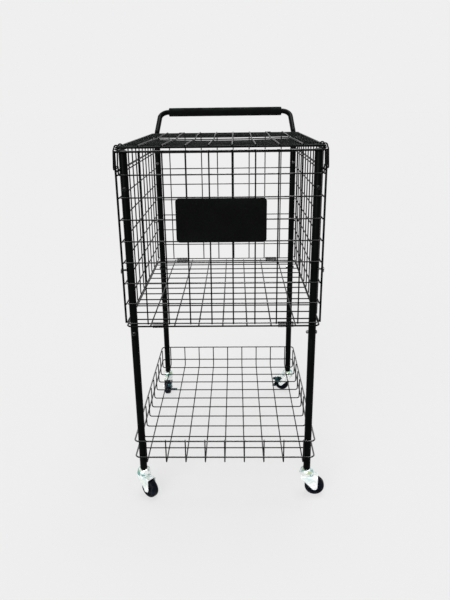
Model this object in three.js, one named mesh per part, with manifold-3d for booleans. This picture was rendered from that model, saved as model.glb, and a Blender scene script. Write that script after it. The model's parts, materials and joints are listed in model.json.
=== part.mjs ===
// Wheeled wire hopper for tennis balls: a welded wire basket with a hinged wire lid and two
// wire latch bails, on four tube legs with a wire tray below, a padded push handle behind
// and four swivel casters, the rear two with foot brakes.
// Millimetres, +Z up, front towards -Y. The finished cart is moved at the end so that the
// middle of its outline lies over the origin, with its wheels on Z = 0.
import * as THREE from "three";
import { mergeVertices } from "three/addons/utils/BufferGeometryUtils.js";
import Module from "manifold-3d";

const wasm = await Module();
wasm.setup();

// Driving dimensions
const clearance = 0.3; // between pieces that seat on each other
const overrun = 1; // how far a cutter runs past what it cuts
const frame = {
  spacingX: 422, // between the axes of the left and right posts
  spacingY: 574, // between the axes of the front and rear posts
  seam: 436, // height where a leg meets its post
};
const basket = {
  top: 873, // middle of the top wires
  bottom: 481, // middle of the lowest rung of the front and rear panels
  rungSteps: 8, // between those two
};
const wire = {
  radius: 1.6, // mesh wires
  thick: 2.4, // the wires that edge the panels
  pitch: 50, // between the uprights of a mesh, and both ways in the lid and the bottom
  weld: 0.5, // how far the outline wires are pressed into the wires that they cross
  touch: 0.05, // left between two inner wires where they cross
};
const tube = { radius: 9, wall: 1.2 }; // posts and legs

const panel = {
  sideUprights: 10, // thin ones, between the edge wires
  railRise: 9, // side rail above the second rung
  bottomRise: 4, // lowest side rung above that of the end panels
};
const floor = {
  drop: 8, // frame below the lowest rung of the end panels
  frameRadius: 2,
  cornerRadius: 12,
  sideReach: 6, // frame beyond the posts' outer faces at the sides
  longWires: 7,
};
const tray = {
  floorZ: 96,
  lowRim: 114.5,
  highRim: 161,
  rimRadius: 2,
  cornerRadius: 12,
  sideReach: 8, // rims beyond the legs' outer faces at the sides
  bendRadius: 6,
  crossPitch: 55,
  crossStart: 66, // first cross wire behind the front rim
};
const lid = {
  cornerRadius: 7,
  hingeGap: 1.1, // between the rear bar and the handle tube
};
const hinge = {
  width: 12,
  thickness: 1.2,
  play: 0.35, // round each wire in the strap
  sideGap: 1.4, // from the mesh wire beside the strap
};
const tie = { thickness: 1, play: 0.35, sideGap: 2 };
const post = {
  rearDrop: 5, // top of the rear posts below the top wires
};
const spigot = { length: 60, wall: 1.2 }; // reduced top end of a leg, inside its post
const bolt = {
  radius: 2.5,
  headRadius: 5,
  headHeight: 2.8,
  crownRadius: 2.8,
  rimHeight: 1.3,
  nutRadius: 4.6,
  nutHeight: 4,
  tail: 1.2, // thread past the nut
};
const endBolt = { drop: 80 }; // below the top wires
const legBolt = { rise: 17 }; // above the seam
const sideClamp = {
  rungsUp: 2.6, // its height, in rung steps above the lowest rung
  width: 10,
  thickness: 1.5,
  lap: 2.6, // how far it runs past the middle of the wire that it holds
};
const handle = {
  plugDepth: 27, // below the bolt that holds the handle in its post
  bendRise: 7, // corner of the lower bend above the top wires
  lean: THREE.MathUtils.degToRad(50), // from the vertical
  gripRise: 71, // grip above the top wires
  narrowing: 7, // how far each side leans in on its way to the grip
  bendRadius: 27,
  gripRadius: 13,
  gripLength: 356,
  gripRound: 2.5,
};
const sign = {
  rung: 2, // the rung that it is centred on, counted from the second one
  rise: -1,
  width: 200,
  height: 98,
  thickness: 3,
  cornerRadius: 8,
  fingerReach: 4.2,
  fingerWidth: 1.5,
  fingerHeight: 12,
};
const bail = {
  radius: 1.6,
  frontGap: 0.8, // between the front eye and the side panel's edge wire
  rungGap: 0.5, // between the rear eye and the lid's first cross wire
  flare: 2, // how far the foot stands out from the shoulders
  bendRadius: 5,
  play: 0.35,
};
const hook = {
  width: 12,
  thickness: 1.5,
  lipRise: 8, // top of the lip above the side rail
  lipGap: 0.4, // from the lip's edge to a bail that hangs free
  catchGap: 2.8, // from the lip down to the bail's foot
};
const caster = {
  height: 76, // ground to the bottom of the leg
  trail: 21, // axle behind the swivel axis
  wheelRadius: 25,
  wheelWidth: 20,
};
const wheel = { hubRadius: 8, tyreDepth: 6.5, dish: 2.5, round: 3.5 };
const fork = {
  gap: 23, // between the cheeks
  cheek: 1.8,
  plateTop: 55.5,
  plate: 2.5,
  heel: 14, // cheeks ahead of the swivel axis
  heelHeight: 5,
  toe: 29, // cheeks behind it
  bossRadius: 7.5, // round the axle
  raceRadius: 16,
  raceTop: 59,
};
const kingPin = { radius: 4, rivetRadius: 7, rivetHeight: 2.4 };
const cap = { radius: 18, brim: 3, shoulderRadius: 15, shoulderDrop: 2.2 }; // upper race
const stemLength = 40; // of the caster's stem inside the leg
const axle = { radius: 3, headRadius: 5.4, headHeight: 3 };
const lever = {
  pivotX: 22,
  pivotZ: 46,
  pinRadius: 2,
  headRadius: 3.6,
  thickness: 1.5,
  armRadius: 5,
  shoeAngle: THREE.MathUtils.degToRad(35), // round the wheel from level
  shoeGap: 3, // brake off
  shoeWidth: 12,
  shoeLength: 11,
  tabX: 38,
  tabZ: 24,
  tabReach: 20,
  tabWidth: 14,
};

// Which way each leg bolt runs, and the way each wheel trails, in degrees from +X
const corners = [
  { name: "front_left", x: -1, y: -1, boltAlongX: false, trails: -42 },
  { name: "front_right", x: 1, y: -1, boltAlongX: true, trails: -5 },
  { name: "rear_left", x: -1, y: 1, boltAlongX: true, trails: -90 },
  { name: "rear_right", x: 1, y: 1, boltAlongX: true, trails: 155 },
];
const sides = [
  { name: "left", x: -1 },
  { name: "right", x: 1 },
];

const colours = {
  coat: { color: 0x14191a, roughness: 0.42, metalness: 0.35 },
  plastic: { color: 0x0b0c0d, roughness: 0.4, metalness: 0 },
  foam: { color: 0x0d0d0d, roughness: 0.95, metalness: 0 },
  zinc: { color: 0xc9d2d2, roughness: 0.28, metalness: 0.9 },
  tread: { color: 0x14161b, roughness: 0.6, metalness: 0 },
};

// Facets round each kind of round piece, and the rings that shape each bend
const facets = { mesh: 4, wire: 6, bail: 5, eye: 10, tube: 12, screw: 8, hole: 6, wheel: 16 };
const bendRings = { thin: 3, thick: 4 };
const quarterTurn = Math.PI / 2;
const mergeTolerance = 1e-4;

const cart = new THREE.Group();

// A named piece with a material of its own.
function piece(name, geometry, finish, parent = cart) {
  const made = new THREE.Mesh(geometry, new THREE.MeshStandardMaterial(finish));
  made.name = name;
  parent.add(made);
  return made;
}

// A group set at a place and turned about the vertical.
function placed(x, y, z, turn = 0, parent = cart) {
  const group = new THREE.Group();
  group.position.set(x, y, z);
  group.rotation.z = turn;
  parent.add(group);
  return group;
}

// Closed geometry to solid, for joining and cutting.
function solidOf(geometry) {
  const bare = geometry.index ? geometry.toNonIndexed() : geometry.clone();
  bare.deleteAttribute("normal");
  bare.deleteAttribute("uv");
  const merged = mergeVertices(bare, mergeTolerance);
  const kept = [];
  for (let i = 0; i < merged.index.count; i += 3) {
    const [a, b, c] = merged.index.array.slice(i, i + 3);
    if (a !== b && b !== c && c !== a) kept.push(a, b, c);
  }
  const vertProperties = new Float32Array(merged.attributes.position.array);
  const triVerts = new Uint32Array(kept);
  return new wasm.Manifold(new wasm.Mesh({ numProp: 3, vertProperties, triVerts }));
}

function geometryOf(solid) {
  const { vertProperties, triVerts } = solid.getMesh();
  const geometry = new THREE.BufferGeometry();
  geometry.setAttribute("position", new THREE.BufferAttribute(vertProperties, 3));
  geometry.setIndex(new THREE.BufferAttribute(triVerts, 1));
  const faceted = geometry.toNonIndexed();
  faceted.computeVertexNormals();
  return faceted;
}

function joined(geometries) {
  return geometryOf(geometries.map(solidOf).reduce((whole, part) => whole.add(part)));
}

function cut(geometry, cutters) {
  const whole = solidOf(geometry);
  return geometryOf(cutters.map(solidOf).reduce((left, cutter) => left.subtract(cutter), whole));
}

function vec(x, y, z) {
  return new THREE.Vector3(x, y, z);
}

// Evenly spaced places, in the middle of a run.
function spaced(count, pitch) {
  return Array.from({ length: count }, (_, i) => (i - (count - 1) / 2) * pitch);
}

// A centre line that is swept with one ring at each of its points.
class WireLine extends THREE.Curve {
  constructor(points) {
    super();
    this.points = points;
  }
  getPointAt(share) {
    return this.points[Math.round(share * (this.points.length - 1))].clone();
  }
  getTangentAt(share) {
    const i = Math.round(share * (this.points.length - 1));
    const before = this.points[Math.max(i - 1, 0)];
    const after = this.points[Math.min(i + 1, this.points.length - 1)];
    return after.clone().sub(before).normalize();
  }
}

// The centre line of a wire bent to one radius at each inner point.
function bent(line, radius, rings) {
  const points = [line[0]];
  for (let i = 1; i < line.length - 1; i++) {
    const before = line[i].clone().sub(line[i - 1]).normalize();
    const after = line[i + 1].clone().sub(line[i]).normalize();
    const angle = before.angleTo(after);
    const inward = after.clone().addScaledVector(before, -Math.cos(angle)).normalize();
    const start = line[i].clone().addScaledVector(before, -radius * Math.tan(angle / 2));
    for (let k = 0; k < rings; k++) {
      const reached = (angle * k) / (rings - 1);
      const point = start.clone().addScaledVector(before, radius * Math.sin(reached));
      points.push(point.addScaledVector(inward, radius * (1 - Math.cos(reached))));
    }
  }
  points.push(line[line.length - 1]);
  return points;
}

// A rod along a centre line. One of its edges faces up where a level rod starts, and turn
// swings the section round, so that crossing wires always meet edge to edge.
function rod(points, radius, turn = 0, sideCount = facets.mesh) {
  const section = new THREE.Shape();
  for (let i = 0; i < sideCount; i++) {
    const angle = turn + (2 * Math.PI * i) / sideCount;
    const place = [radius * Math.cos(angle), radius * Math.sin(angle)];
    if (i === 0) section.moveTo(...place);
    else section.lineTo(...place);
  }
  const steps = points.length - 1;
  return new THREE.ExtrudeGeometry(section, { steps, extrudePath: new WireLine(points) });
}

// A closed level wire: a rectangle with round corners. Turn swings the section round, which
// has an edge on its outside at 0.
function ring(halfX, halfY, z, cornerRadius, radius, turn = 0, rings = bendRings.thick) {
  const stations = [];
  for (let quarter = 0; quarter < 4; quarter++) {
    const centreX = (quarter % 3 === 0 ? 1 : -1) * (halfX - cornerRadius);
    const centreY = (quarter < 2 ? 1 : -1) * (halfY - cornerRadius);
    for (let k = 0; k < rings; k++) {
      stations.push({ centreX, centreY, angle: quarterTurn * (quarter + k / (rings - 1)) });
    }
  }
  const position = [];
  for (const { centreX, centreY, angle } of stations) {
    for (let j = 0; j < facets.wire; j++) {
      const around = turn + (2 * Math.PI * j) / facets.wire;
      const reach = cornerRadius + radius * Math.cos(around);
      position.push(centreX + reach * Math.cos(angle), centreY + reach * Math.sin(angle));
      position.push(z + radius * Math.sin(around));
    }
  }
  const index = [];
  for (let i = 0; i < stations.length; i++) {
    const here = i * facets.wire;
    const next = ((i + 1) % stations.length) * facets.wire;
    for (let j = 0; j < facets.wire; j++) {
      const up = (j + 1) % facets.wire;
      index.push(here + j, next + j, next + up, here + j, next + up, here + up);
    }
  }
  const geometry = new THREE.BufferGeometry();
  geometry.setAttribute("position", new THREE.Float32BufferAttribute(position, 3));
  geometry.setIndex(index);
  return geometry;
}

// A turned piece on the Z axis, from [radius, height] pairs going round anticlockwise.
function turned(profile, sideCount) {
  const points = profile.map(([radius, height]) => new THREE.Vector2(radius, height));
  return new THREE.LatheGeometry(points, sideCount).rotateX(quarterTurn);
}

function disc(radius, from, to, sideCount) {
  return turned([[0, from], [radius, from], [radius, to], [0, to]], sideCount);
}

function block([x0, x1], [y0, y1], [z0, z1]) {
  const geometry = new THREE.BoxGeometry(x1 - x0, y1 - y0, z1 - z0);
  return geometry.translate((x0 + x1) / 2, (y0 + y1) / 2, (z0 + z1) / 2);
}

// Sheet metal from an outline in X and Z, between two places along Y.
function sheet(outline, from, to, curveSegments = 3) {
  const options = { depth: to - from, bevelEnabled: false, steps: 1, curveSegments };
  return new THREE.ExtrudeGeometry(outline, options).rotateX(quarterTurn).translate(0, to, 0);
}

// A flat strap bent round two parallel wires, drawn across X = 0 from [y, z] places.
function strap([y0, z0], [y1, z1], innerRadius, thickness, width) {
  const along = Math.atan2(z1 - z0, y1 - y0);
  const outline = (radius, path) => {
    path.absarc(y1, z1, radius, along - quarterTurn, along + quarterTurn);
    path.absarc(y0, z0, radius, along + quarterTurn, along + 3 * quarterTurn);
    return path;
  };
  const shape = outline(innerRadius + thickness, new THREE.Shape());
  shape.holes.push(outline(innerRadius, new THREE.Path()));
  return sheet(shape, -width / 2, width / 2).rotateZ(quarterTurn);
}

// How far the middle of a thick edge wire stands out from the mesh uprights beside it.
const edgeRise = wire.thick - wire.radius - wire.weld;

// Between the middles of an upright and a rung under it that are welded, or only touch.
function weldDepth(radius) {
  return wire.radius + radius - wire.weld;
}

function touchDepth(radius) {
  return wire.radius + radius + wire.touch;
}

// A flat welded panel, drawn lying down: uprights run along Y with their middle at Z = 0,
// and rungs run along X under them. The outline wires are pressed into all that they cross.
function wirePanel(uprights, rungs, extra = []) {
  const wires = [...extra];
  const sideCount = (radius) => (radius > wire.radius ? facets.wire : facets.mesh);
  for (const { at, from, to, radius = wire.radius, isOutline } of uprights) {
    const z = radius - wire.radius - (isOutline ? wire.weld : 0);
    wires.push(rod([vec(at, from, z), vec(at, to, z)], radius, 0, sideCount(radius)));
  }
  for (const { at, from, to, radius = wire.radius, isOutline } of rungs) {
    const z = isOutline ? -weldDepth(radius) : -touchDepth(radius);
    wires.push(rod([vec(from, at, z), vec(to, at, z)], radius, 0, sideCount(radius)));
  }
  return joined(wires);
}

// Places that the pieces share
post.x = frame.spacingX / 2;
post.y = frame.spacingY / 2;
post.outerX = post.x + tube.radius;
post.outerY = post.y + tube.radius;
post.bore = tube.radius - tube.wall;
handle.radius = post.bore - clearance; // its ends plug into the rear posts
const wallOffset = clearance + wire.thick + weldDepth(wire.thick);
const wall = {
  x: post.outerX + wallOffset, // the side uprights
  y: post.outerY + wallOffset, // the end uprights
  sideTopX: post.outerX + clearance + wire.thick,
  endTopY: post.outerY + clearance + wire.thick,
  halfDepth: post.outerY + wallOffset - weldDepth(wire.radius), // side panels' edge wires
};
const wireTop = basket.top + wire.thick;
const endUprights = spaced(Math.floor(frame.spacingX / wire.pitch), wire.pitch);
const rungPitch = (basket.top - basket.bottom) / basket.rungSteps;
const rungLevels = spaced(basket.rungSteps - 1, -rungPitch).map(
  (z) => (basket.top + basket.bottom) / 2 + z,
);
const railZ = rungLevels[0] + panel.railRise;

// Front and rear panels: rungs that reach across the posts, and uprights over them.
function endPanel() {
  const from = basket.bottom - wire.radius;
  const uprights = endUprights.map((at) => ({ at, from, to: wireTop }));
  for (const outer of [uprights[0], uprights.at(-1)]) outer.isOutline = true;
  const across = { from: -post.outerX, to: post.outerX };
  const rungs = rungLevels.map((at) => ({ at, ...across }));
  rungs.push({ at: basket.bottom, isOutline: true, ...across });
  rungs.push({ at: basket.top, radius: wire.thick, isOutline: true, ...across });
  return wirePanel(uprights, rungs);
}

// Side panels: thick edge wires in front and behind, and a thick rail above the second rung.
function sidePanel() {
  const bottom = basket.bottom + panel.bottomRise;
  const reach = { from: bottom - wire.radius, to: wireTop };
  const pitch = (2 * wall.halfDepth) / (panel.sideUprights + 1);
  const uprights = spaced(panel.sideUprights, pitch).map((at) => ({ at, ...reach }));
  const edge = { radius: wire.thick, isOutline: true };
  for (const at of [-wall.halfDepth, wall.halfDepth]) uprights.push({ at, ...edge, ...reach });
  const half = wall.halfDepth + wire.thick;
  const along = { from: -half, to: half };
  const rungs = rungLevels.map((at) => ({ at, ...along }));
  rungs.push({ at: bottom, isOutline: true, ...along });
  for (const at of [railZ, basket.top]) rungs.push({ at, ...edge, ...along });
  return wirePanel(uprights, rungs);
}

// A panel stood up at a distance from the middle, facing the way that turn gives.
function standingPanel(name, geometry, distance, turn) {
  const made = piece(name, geometry, colours.coat, placed(0, 0, 0, turn));
  made.rotation.x = quarterTurn;
  made.position.y = -distance;
}

standingPanel("front_panel", endPanel(), wall.y, 0);
standingPanel("rear_panel", endPanel(), wall.y, 2 * quarterTurn);
standingPanel("right_panel", sidePanel(), wall.x, quarterTurn);
standingPanel("left_panel", sidePanel(), wall.x, -quarterTurn);

// Bottom panel: a round-cornered frame that passes outside the posts, under the walls.
floor.z = basket.bottom - floor.drop;
floor.halfX = post.outerX + floor.sideReach;
floor.halfY = post.outerY + clearance + floor.frameRadius;
floor.wires = spaced(floor.longWires, (2 * floor.halfX) / (floor.longWires + 1));

function bottomPanel() {
  const { halfX, halfY, cornerRadius, frameRadius } = floor;
  const frameZ = -weldDepth(frameRadius);
  const edgeUp = Math.PI / facets.wire;
  const frameWire = ring(halfX, halfY, frameZ, cornerRadius, frameRadius, edgeUp);
  const reach = halfY + frameRadius;
  const uprights = floor.wires.map((at) => ({ at, from: -reach, to: reach }));
  const count = Math.floor((2 * (post.y - tube.radius)) / wire.pitch);
  const rungs = spaced(count, wire.pitch).map((at) => ({ at, from: -halfX, to: halfX }));
  return wirePanel(uprights, rungs, [frameWire]);
}

const bottom = piece("bottom_panel", bottomPanel(), colours.coat);
bottom.position.z = floor.z + weldDepth(floor.frameRadius);

// Tray: two rims round the legs, and wires bent up at both ends to the upper rim.
tray.halfX = post.outerX + tray.sideReach;
tray.halfY = post.outerY + clearance + tray.rimRadius;

function trayBody() {
  const { halfX, halfY, cornerRadius, rimRadius, bendRadius, highRim, lowRim } = tray;
  const wires = [];
  for (const z of [lowRim, highRim]) wires.push(ring(halfX, halfY, z, cornerRadius, rimRadius));
  const top = highRim + rimRadius;
  const y = halfY - weldDepth(rimRadius);
  const besideLeg = tube.radius + clearance + wire.radius; // nearest that a wire passes a leg
  const perSide = Math.floor((post.x - besideLeg) / wire.pitch);
  for (const x of spaced(2 * perSide + 1, wire.pitch)) {
    const z = tray.floorZ;
    const line = [vec(x, -y, top), vec(x, -y, z), vec(x, y, z), vec(x, y, top)];
    wires.push(rod(bent(line, bendRadius, bendRings.thin), wire.radius));
  }
  const x = halfX - weldDepth(rimRadius);
  for (let at = tray.crossStart - halfY; at < post.y - besideLeg; at += tray.crossPitch) {
    const z = tray.floorZ + touchDepth(wire.radius);
    const line = [vec(-x, at, top), vec(-x, at, z), vec(x, at, z), vec(x, at, top)];
    wires.push(rod(bent(line, bendRadius, bendRings.thin), wire.radius, quarterTurn));
  }
  return joined(wires);
}

piece("tray", trayBody(), colours.coat);

// Lid: a thick frame with the long wires laid on top of the cross wires.
bail.eyeRadius = (wire.thick + bail.play + bail.radius) / Math.cos(Math.PI / facets.eye);
lid.z = wireTop + clearance + bail.eyeRadius + bail.radius; // the eyes pass under the bars
lid.halfX = wall.sideTopX;
lid.front = -wall.y;
lid.rear = post.y - handle.radius - lid.hingeGap - wire.thick;

function lidPanel() {
  const { halfX, front, rear, cornerRadius } = lid;
  const z = -weldDepth(wire.thick);
  const line = [vec(-halfX, rear, z), vec(-halfX, front, z), vec(halfX, front, z), vec(halfX, rear, z)];
  const bend = bent(line, cornerRadius, bendRings.thick);
  const frameWire = rod(bend, wire.thick, 0, facets.wire);
  const reach = { from: front - wire.thick, to: rear + wire.thick };
  const uprights = endUprights.map((at) => ({ at, ...reach }));
  const rungs = [];
  for (let at = front + wire.pitch; at < rear - wire.pitch / 2; at += wire.pitch) {
    rungs.push({ at, from: -halfX, to: halfX });
  }
  const half = halfX + wire.thick;
  rungs.push({ at: rear, from: -half, to: half, radius: wire.thick, isOutline: true });
  return wirePanel(uprights, rungs, [frameWire]);
}

piece("lid_panel", lidPanel(), colours.coat).position.z = lid.z + weldDepth(wire.thick);

// Straps that hang the lid's rear bar on the rear panel's top wire.
const hingeX = endUprights.at(-2) + wire.radius + hinge.sideGap + hinge.width / 2;
for (const { name, x } of sides) {
  const [bar, topWire] = [[lid.rear, lid.z], [wall.endTopY, basket.top]];
  const band = strap(bar, topWire, wire.thick + hinge.play, hinge.thickness, hinge.width);
  piece(`lid_hinge_strap_${name}`, band, colours.coat).position.x = x * hingeX;
}

// Straps that tie the bottom panel's frame to the lowest rungs of the end panels.
const tieSpan = [endUprights.at(-2), floor.wires.at(-1)].sort((a, b) => a - b);
const tieWidth = tieSpan[1] - tieSpan[0] - 2 * (wire.radius + tie.sideGap);
for (const [end, y] of [["front", -1], ["rear", 1]]) {
  const frameWire = [y * floor.halfY, floor.z];
  const rung = [y * (wall.y - weldDepth(wire.radius)), basket.bottom];
  for (const { name, x } of sides) {
    const band = strap(frameWire, rung, floor.frameRadius + tie.play, tie.thickness, tieWidth);
    const tied = piece(`bottom_tie_${end}_${name}`, band, colours.coat);
    tied.position.x = (x * (tieSpan[0] + tieSpan[1])) / 2;
  }
}

// Posts and legs: a leg's reduced top end plugs into its post, and a bolt crosses both.
endBolt.z = basket.top - endBolt.drop;
legBolt.z = frame.seam + legBolt.rise;
sideClamp.z = basket.bottom + rungPitch * sideClamp.rungsUp;

// Corner radius of a faceted hole whose flats clear what runs through it.
function boreRadius(radius, sideCount) {
  return (radius + clearance) / Math.cos(Math.PI / sideCount);
}

// A hole along X or Y, right through a post unless an end is given.
function crossHole(z, alongX, from = -tube.radius - overrun, to = tube.radius + overrun) {
  const hole = disc(boreRadius(bolt.radius, facets.hole), from, to, facets.hole);
  return (alongX ? hole.rotateY(quarterTurn) : hole.rotateX(quarterTurn)).translate(0, 0, z);
}

function postTube(top, legBoltAlongX, side) {
  const foot = frame.seam + clearance;
  const past = side * (tube.radius + overrun);
  const [inner, outer] = [post.bore, tube.radius];
  const body = turned(
    [[inner, foot], [outer, foot], [outer, top], [inner, top], [inner, foot]],
    facets.tube,
  );
  return cut(body, [
    crossHole(endBolt.z, false),
    crossHole(legBolt.z, legBoltAlongX),
    crossHole(sideClamp.z, true, Math.min(0, past), Math.max(0, past)),
  ]);
}

function legTube(boltAlongX) {
  const outer = post.bore - clearance;
  const inner = outer - spigot.wall;
  const { seam } = frame;
  const body = turned([
    [post.bore, caster.height],
    [tube.radius, caster.height],
    [tube.radius, seam],
    [outer, seam],
    [outer, seam + spigot.length],
    [inner, seam + spigot.length],
    [inner, seam - tube.wall],
    [post.bore, seam - 2 * tube.wall],
    [post.bore, caster.height],
  ], facets.tube);
  return cut(body, [crossHole(legBolt.z, boltAlongX)]);
}

// A pan-head bolt with its nut, across a post along Y, with its head towards -Y.
function throughBolt() {
  const half = tube.radius + clearance;
  const { radius, headRadius, crownRadius, headHeight, rimHeight, nutHeight } = bolt;
  const end = half + nutHeight + bolt.tail;
  const body = turned([
    [0, -half - headHeight],
    [crownRadius, -half - headHeight],
    [headRadius, -half - rimHeight],
    [headRadius, -half],
    [radius, -half],
    [radius, end],
    [0, end],
  ], facets.screw);
  const nut = disc(bolt.nutRadius, half, half + nutHeight, facets.hole);
  return joined([body, nut]).rotateX(-quarterTurn);
}

// A clamp plate with a stud that reaches to the post's axis, drawn for the right side. The
// plate runs along Y, forwards or back, and laps over the side panel's edge wire.
function sideClampBody(towards) {
  const { width, thickness, lap } = sideClamp;
  const { radius, headRadius, crownRadius, headHeight, rimHeight } = bolt;
  const seat = wall.x + edgeRise + wire.thick + clearance - post.x;
  const outer = seat + thickness;
  const stud = turned([
    [0, 0],
    [radius, 0],
    [radius, outer],
    [headRadius, outer],
    [headRadius, outer + rimHeight],
    [crownRadius, outer + headHeight],
    [0, outer + headHeight],
  ], facets.screw).rotateY(quarterTurn);
  const half = width / 2;
  const ends = [-towards * half, towards * (wall.halfDepth - post.y + lap)].sort((a, b) => a - b);
  return joined([stud, block([seat, outer], ends, [-half, half])]);
}

// Fixed half of a caster: stem in the leg, upper race, and the riveted king pin.
function casterStem() {
  const capBase = fork.raceTop + clearance;
  const capTop = caster.height - clearance;
  const stemRadius = post.bore - clearance;
  const rivetTop = fork.plateTop - fork.plate - clearance;
  return turned([
    [0, rivetTop - kingPin.rivetHeight],
    [kingPin.rivetRadius, rivetTop - kingPin.rivetHeight],
    [kingPin.rivetRadius, rivetTop],
    [kingPin.radius, rivetTop],
    [kingPin.radius, capBase],
    [fork.raceRadius, capBase],
    [cap.radius, capBase + cap.brim],
    [cap.shoulderRadius, capTop - cap.shoulderDrop],
    [tube.radius, capTop],
    [stemRadius, capTop],
    [stemRadius, caster.height + stemLength],
    [0, caster.height + stemLength],
  ], facets.tube);
}

// Side view of a cheek: a level top, and one straight edge down to a round axle boss.
function cheekOutline() {
  const { heel, heelHeight, toe, plateTop, bossRadius } = fork;
  const shape = new THREE.Shape();
  const heelZ = plateTop - heelHeight;
  const slope = Math.atan2(caster.wheelRadius - heelZ, caster.trail + heel);
  shape.moveTo(-heel, plateTop);
  shape.lineTo(-heel, heelZ);
  shape.absarc(caster.trail, caster.wheelRadius, bossRadius, slope - quarterTurn, 0);
  shape.lineTo(toe, plateTop);
  return shape;
}

// A round hole across a caster, at a place in its side view.
function sideHole(x, z, radius, from, to) {
  const hole = disc(boreRadius(radius, facets.screw), -to, -from, facets.screw);
  return hole.rotateX(quarterTurn).translate(x, 0, z);
}

function forkBody(hasBrake) {
  const { gap, cheek, plate, plateTop, raceTop, raceRadius } = fork;
  const outer = gap / 2 + cheek;
  const under = plateTop - plate;
  const body = joined([
    block([-fork.heel, fork.toe], [-outer, outer], [under, plateTop]),
    disc(raceRadius, under, raceTop, facets.tube),
    sheet(cheekOutline(), gap / 2, outer),
    sheet(cheekOutline(), -outer, -gap / 2),
  ]);
  const cutters = [
    disc(
      boreRadius(kingPin.radius, facets.screw),
      under - overrun,
      raceTop + overrun,
      facets.screw,
    ),
    sideHole(caster.trail, caster.wheelRadius, axle.radius, -outer - overrun, outer + overrun),
  ];
  if (hasBrake) cutters.push(sideHole(lever.pivotX, lever.pivotZ, lever.pinRadius, 0, outer + overrun));
  return cut(body, cutters);
}

// A wheel on the Z axis, with a rounded tread and dished sides, bored for its axle. The
// middles of its facets lie at the wheel's radius, and it stands on one of them.
function wheelBody() {
  const { hubRadius, tyreDepth, dish, round } = wheel;
  const half = caster.wheelWidth / 2;
  const radius = caster.wheelRadius / Math.cos(Math.PI / facets.wheel);
  const rim = radius - tyreDepth;
  const hub = fork.gap / 2 - clearance;
  const bore = axle.radius + clearance;
  return turned([
    [bore, -hub],
    [hubRadius, -hub],
    [hubRadius, dish - half],
    [rim, -half],
    [radius, round - half],
    [radius, half - round],
    [rim, half],
    [hubRadius, half - dish],
    [hubRadius, hub],
    [bore, hub],
    [bore, -hub],
  ], facets.wheel).rotateZ(Math.PI / facets.wheel);
}

function axleBolt() {
  const half = fork.gap / 2 + fork.cheek + clearance;
  const { radius, headRadius, headHeight } = axle;
  const pin = disc(radius, -half, half, facets.screw);
  const head = disc(headRadius, -half - headHeight, -half, facets.hole);
  const nut = disc(headRadius, half, half + headHeight, facets.hole);
  return joined([pin, head, nut]).rotateX(quarterTurn);
}

// Brake lever: an arm beside one cheek, with a shoe bent in over the tyre and a foot tab
// bent out.
function brakeLever() {
  const { pivotX, pivotZ, thickness, armRadius, shoeAngle, shoeGap } = lever;
  const inner = fork.gap / 2 + fork.cheek + clearance;
  const outer = inner + thickness;
  const arm = (x, z) => {
    const angle = Math.atan2(z - pivotZ, x - pivotX);
    const shape = new THREE.Shape();
    shape.absarc(x, z, armRadius, angle - quarterTurn, angle + quarterTurn);
    shape.absarc(pivotX, pivotZ, armRadius, angle + quarterTurn, angle + 3 * quarterTurn);
    return sheet(shape, inner, outer);
  };
  const shoeReach = caster.wheelRadius + shoeGap;
  const middle = shoeReach + thickness / 2;
  const shoe = block(
    [shoeReach, shoeReach + thickness],
    [outer - lever.shoeWidth, outer],
    [-lever.shoeLength / 2, lever.shoeLength / 2],
  );
  shoe.rotateY(-shoeAngle).translate(caster.trail, 0, caster.wheelRadius);
  const shoeX = caster.trail + middle * Math.cos(shoeAngle);
  const shoeZ = caster.wheelRadius + middle * Math.sin(shoeAngle);
  const tab = block(
    [lever.tabX - lever.tabWidth / 2, lever.tabX + lever.tabWidth / 2],
    [inner, inner + lever.tabReach],
    [lever.tabZ - thickness, lever.tabZ],
  );
  const pin = disc(lever.pinRadius, -outer, fork.cheek - inner, facets.screw);
  const head = disc(lever.headRadius, -outer - thickness, -outer, facets.screw);
  for (const part of [pin, head]) part.rotateX(quarterTurn).translate(pivotX, 0, pivotZ);
  return joined([arm(shoeX, shoeZ), arm(lever.tabX, lever.tabZ), shoe, tab, pin, head]);
}

for (const { name, x, y, boltAlongX, trails } of corners) {
  const isRear = y > 0;
  const stand = placed(x * post.x, y * post.y, 0);
  const top = isRear ? basket.top - post.rearDrop : wireTop;
  piece(`post_${name}`, postTube(top, boltAlongX, x), colours.coat, stand);
  piece(`leg_${name}`, legTube(boltAlongX), colours.coat, stand);

  const lower = piece(`leg_bolt_${name}`, throughBolt(), colours.coat, stand);
  lower.position.z = legBolt.z;
  lower.rotation.z = boltAlongX ? x * quarterTurn : 0;
  const upper = piece(`post_bolt_${name}`, throughBolt(), colours.coat, stand);
  upper.position.z = endBolt.z;
  upper.rotation.z = isRear ? 2 * quarterTurn : 0;
  const clamp = piece(`side_clamp_${name}`, sideClampBody(x * y), colours.coat, stand);
  clamp.position.z = sideClamp.z;
  if (x < 0) clamp.rotation.z = 2 * quarterTurn;

  piece(`caster_stem_${name}`, casterStem(), colours.zinc, stand);
  const swivel = placed(0, 0, 0, THREE.MathUtils.degToRad(trails), stand);
  piece(`caster_fork_${name}`, forkBody(isRear), colours.zinc, swivel);
  const hub = placed(caster.trail, 0, caster.wheelRadius, 0, swivel);
  piece(`caster_axle_${name}`, axleBolt(), colours.zinc, hub);
  piece(`caster_wheel_${name}`, wheelBody(), colours.tread, hub).rotation.x = quarterTurn;
  if (isRear) piece(`brake_lever_${name}`, brakeLever(), colours.zinc, swivel);
}

// Push handle: one tube plugged into both rear posts, leaning back to a padded grip.
handle.gripZ = basket.top + handle.gripRise;
handle.gripY = post.y + (handle.gripRise - handle.bendRise) * Math.tan(handle.lean);

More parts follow.
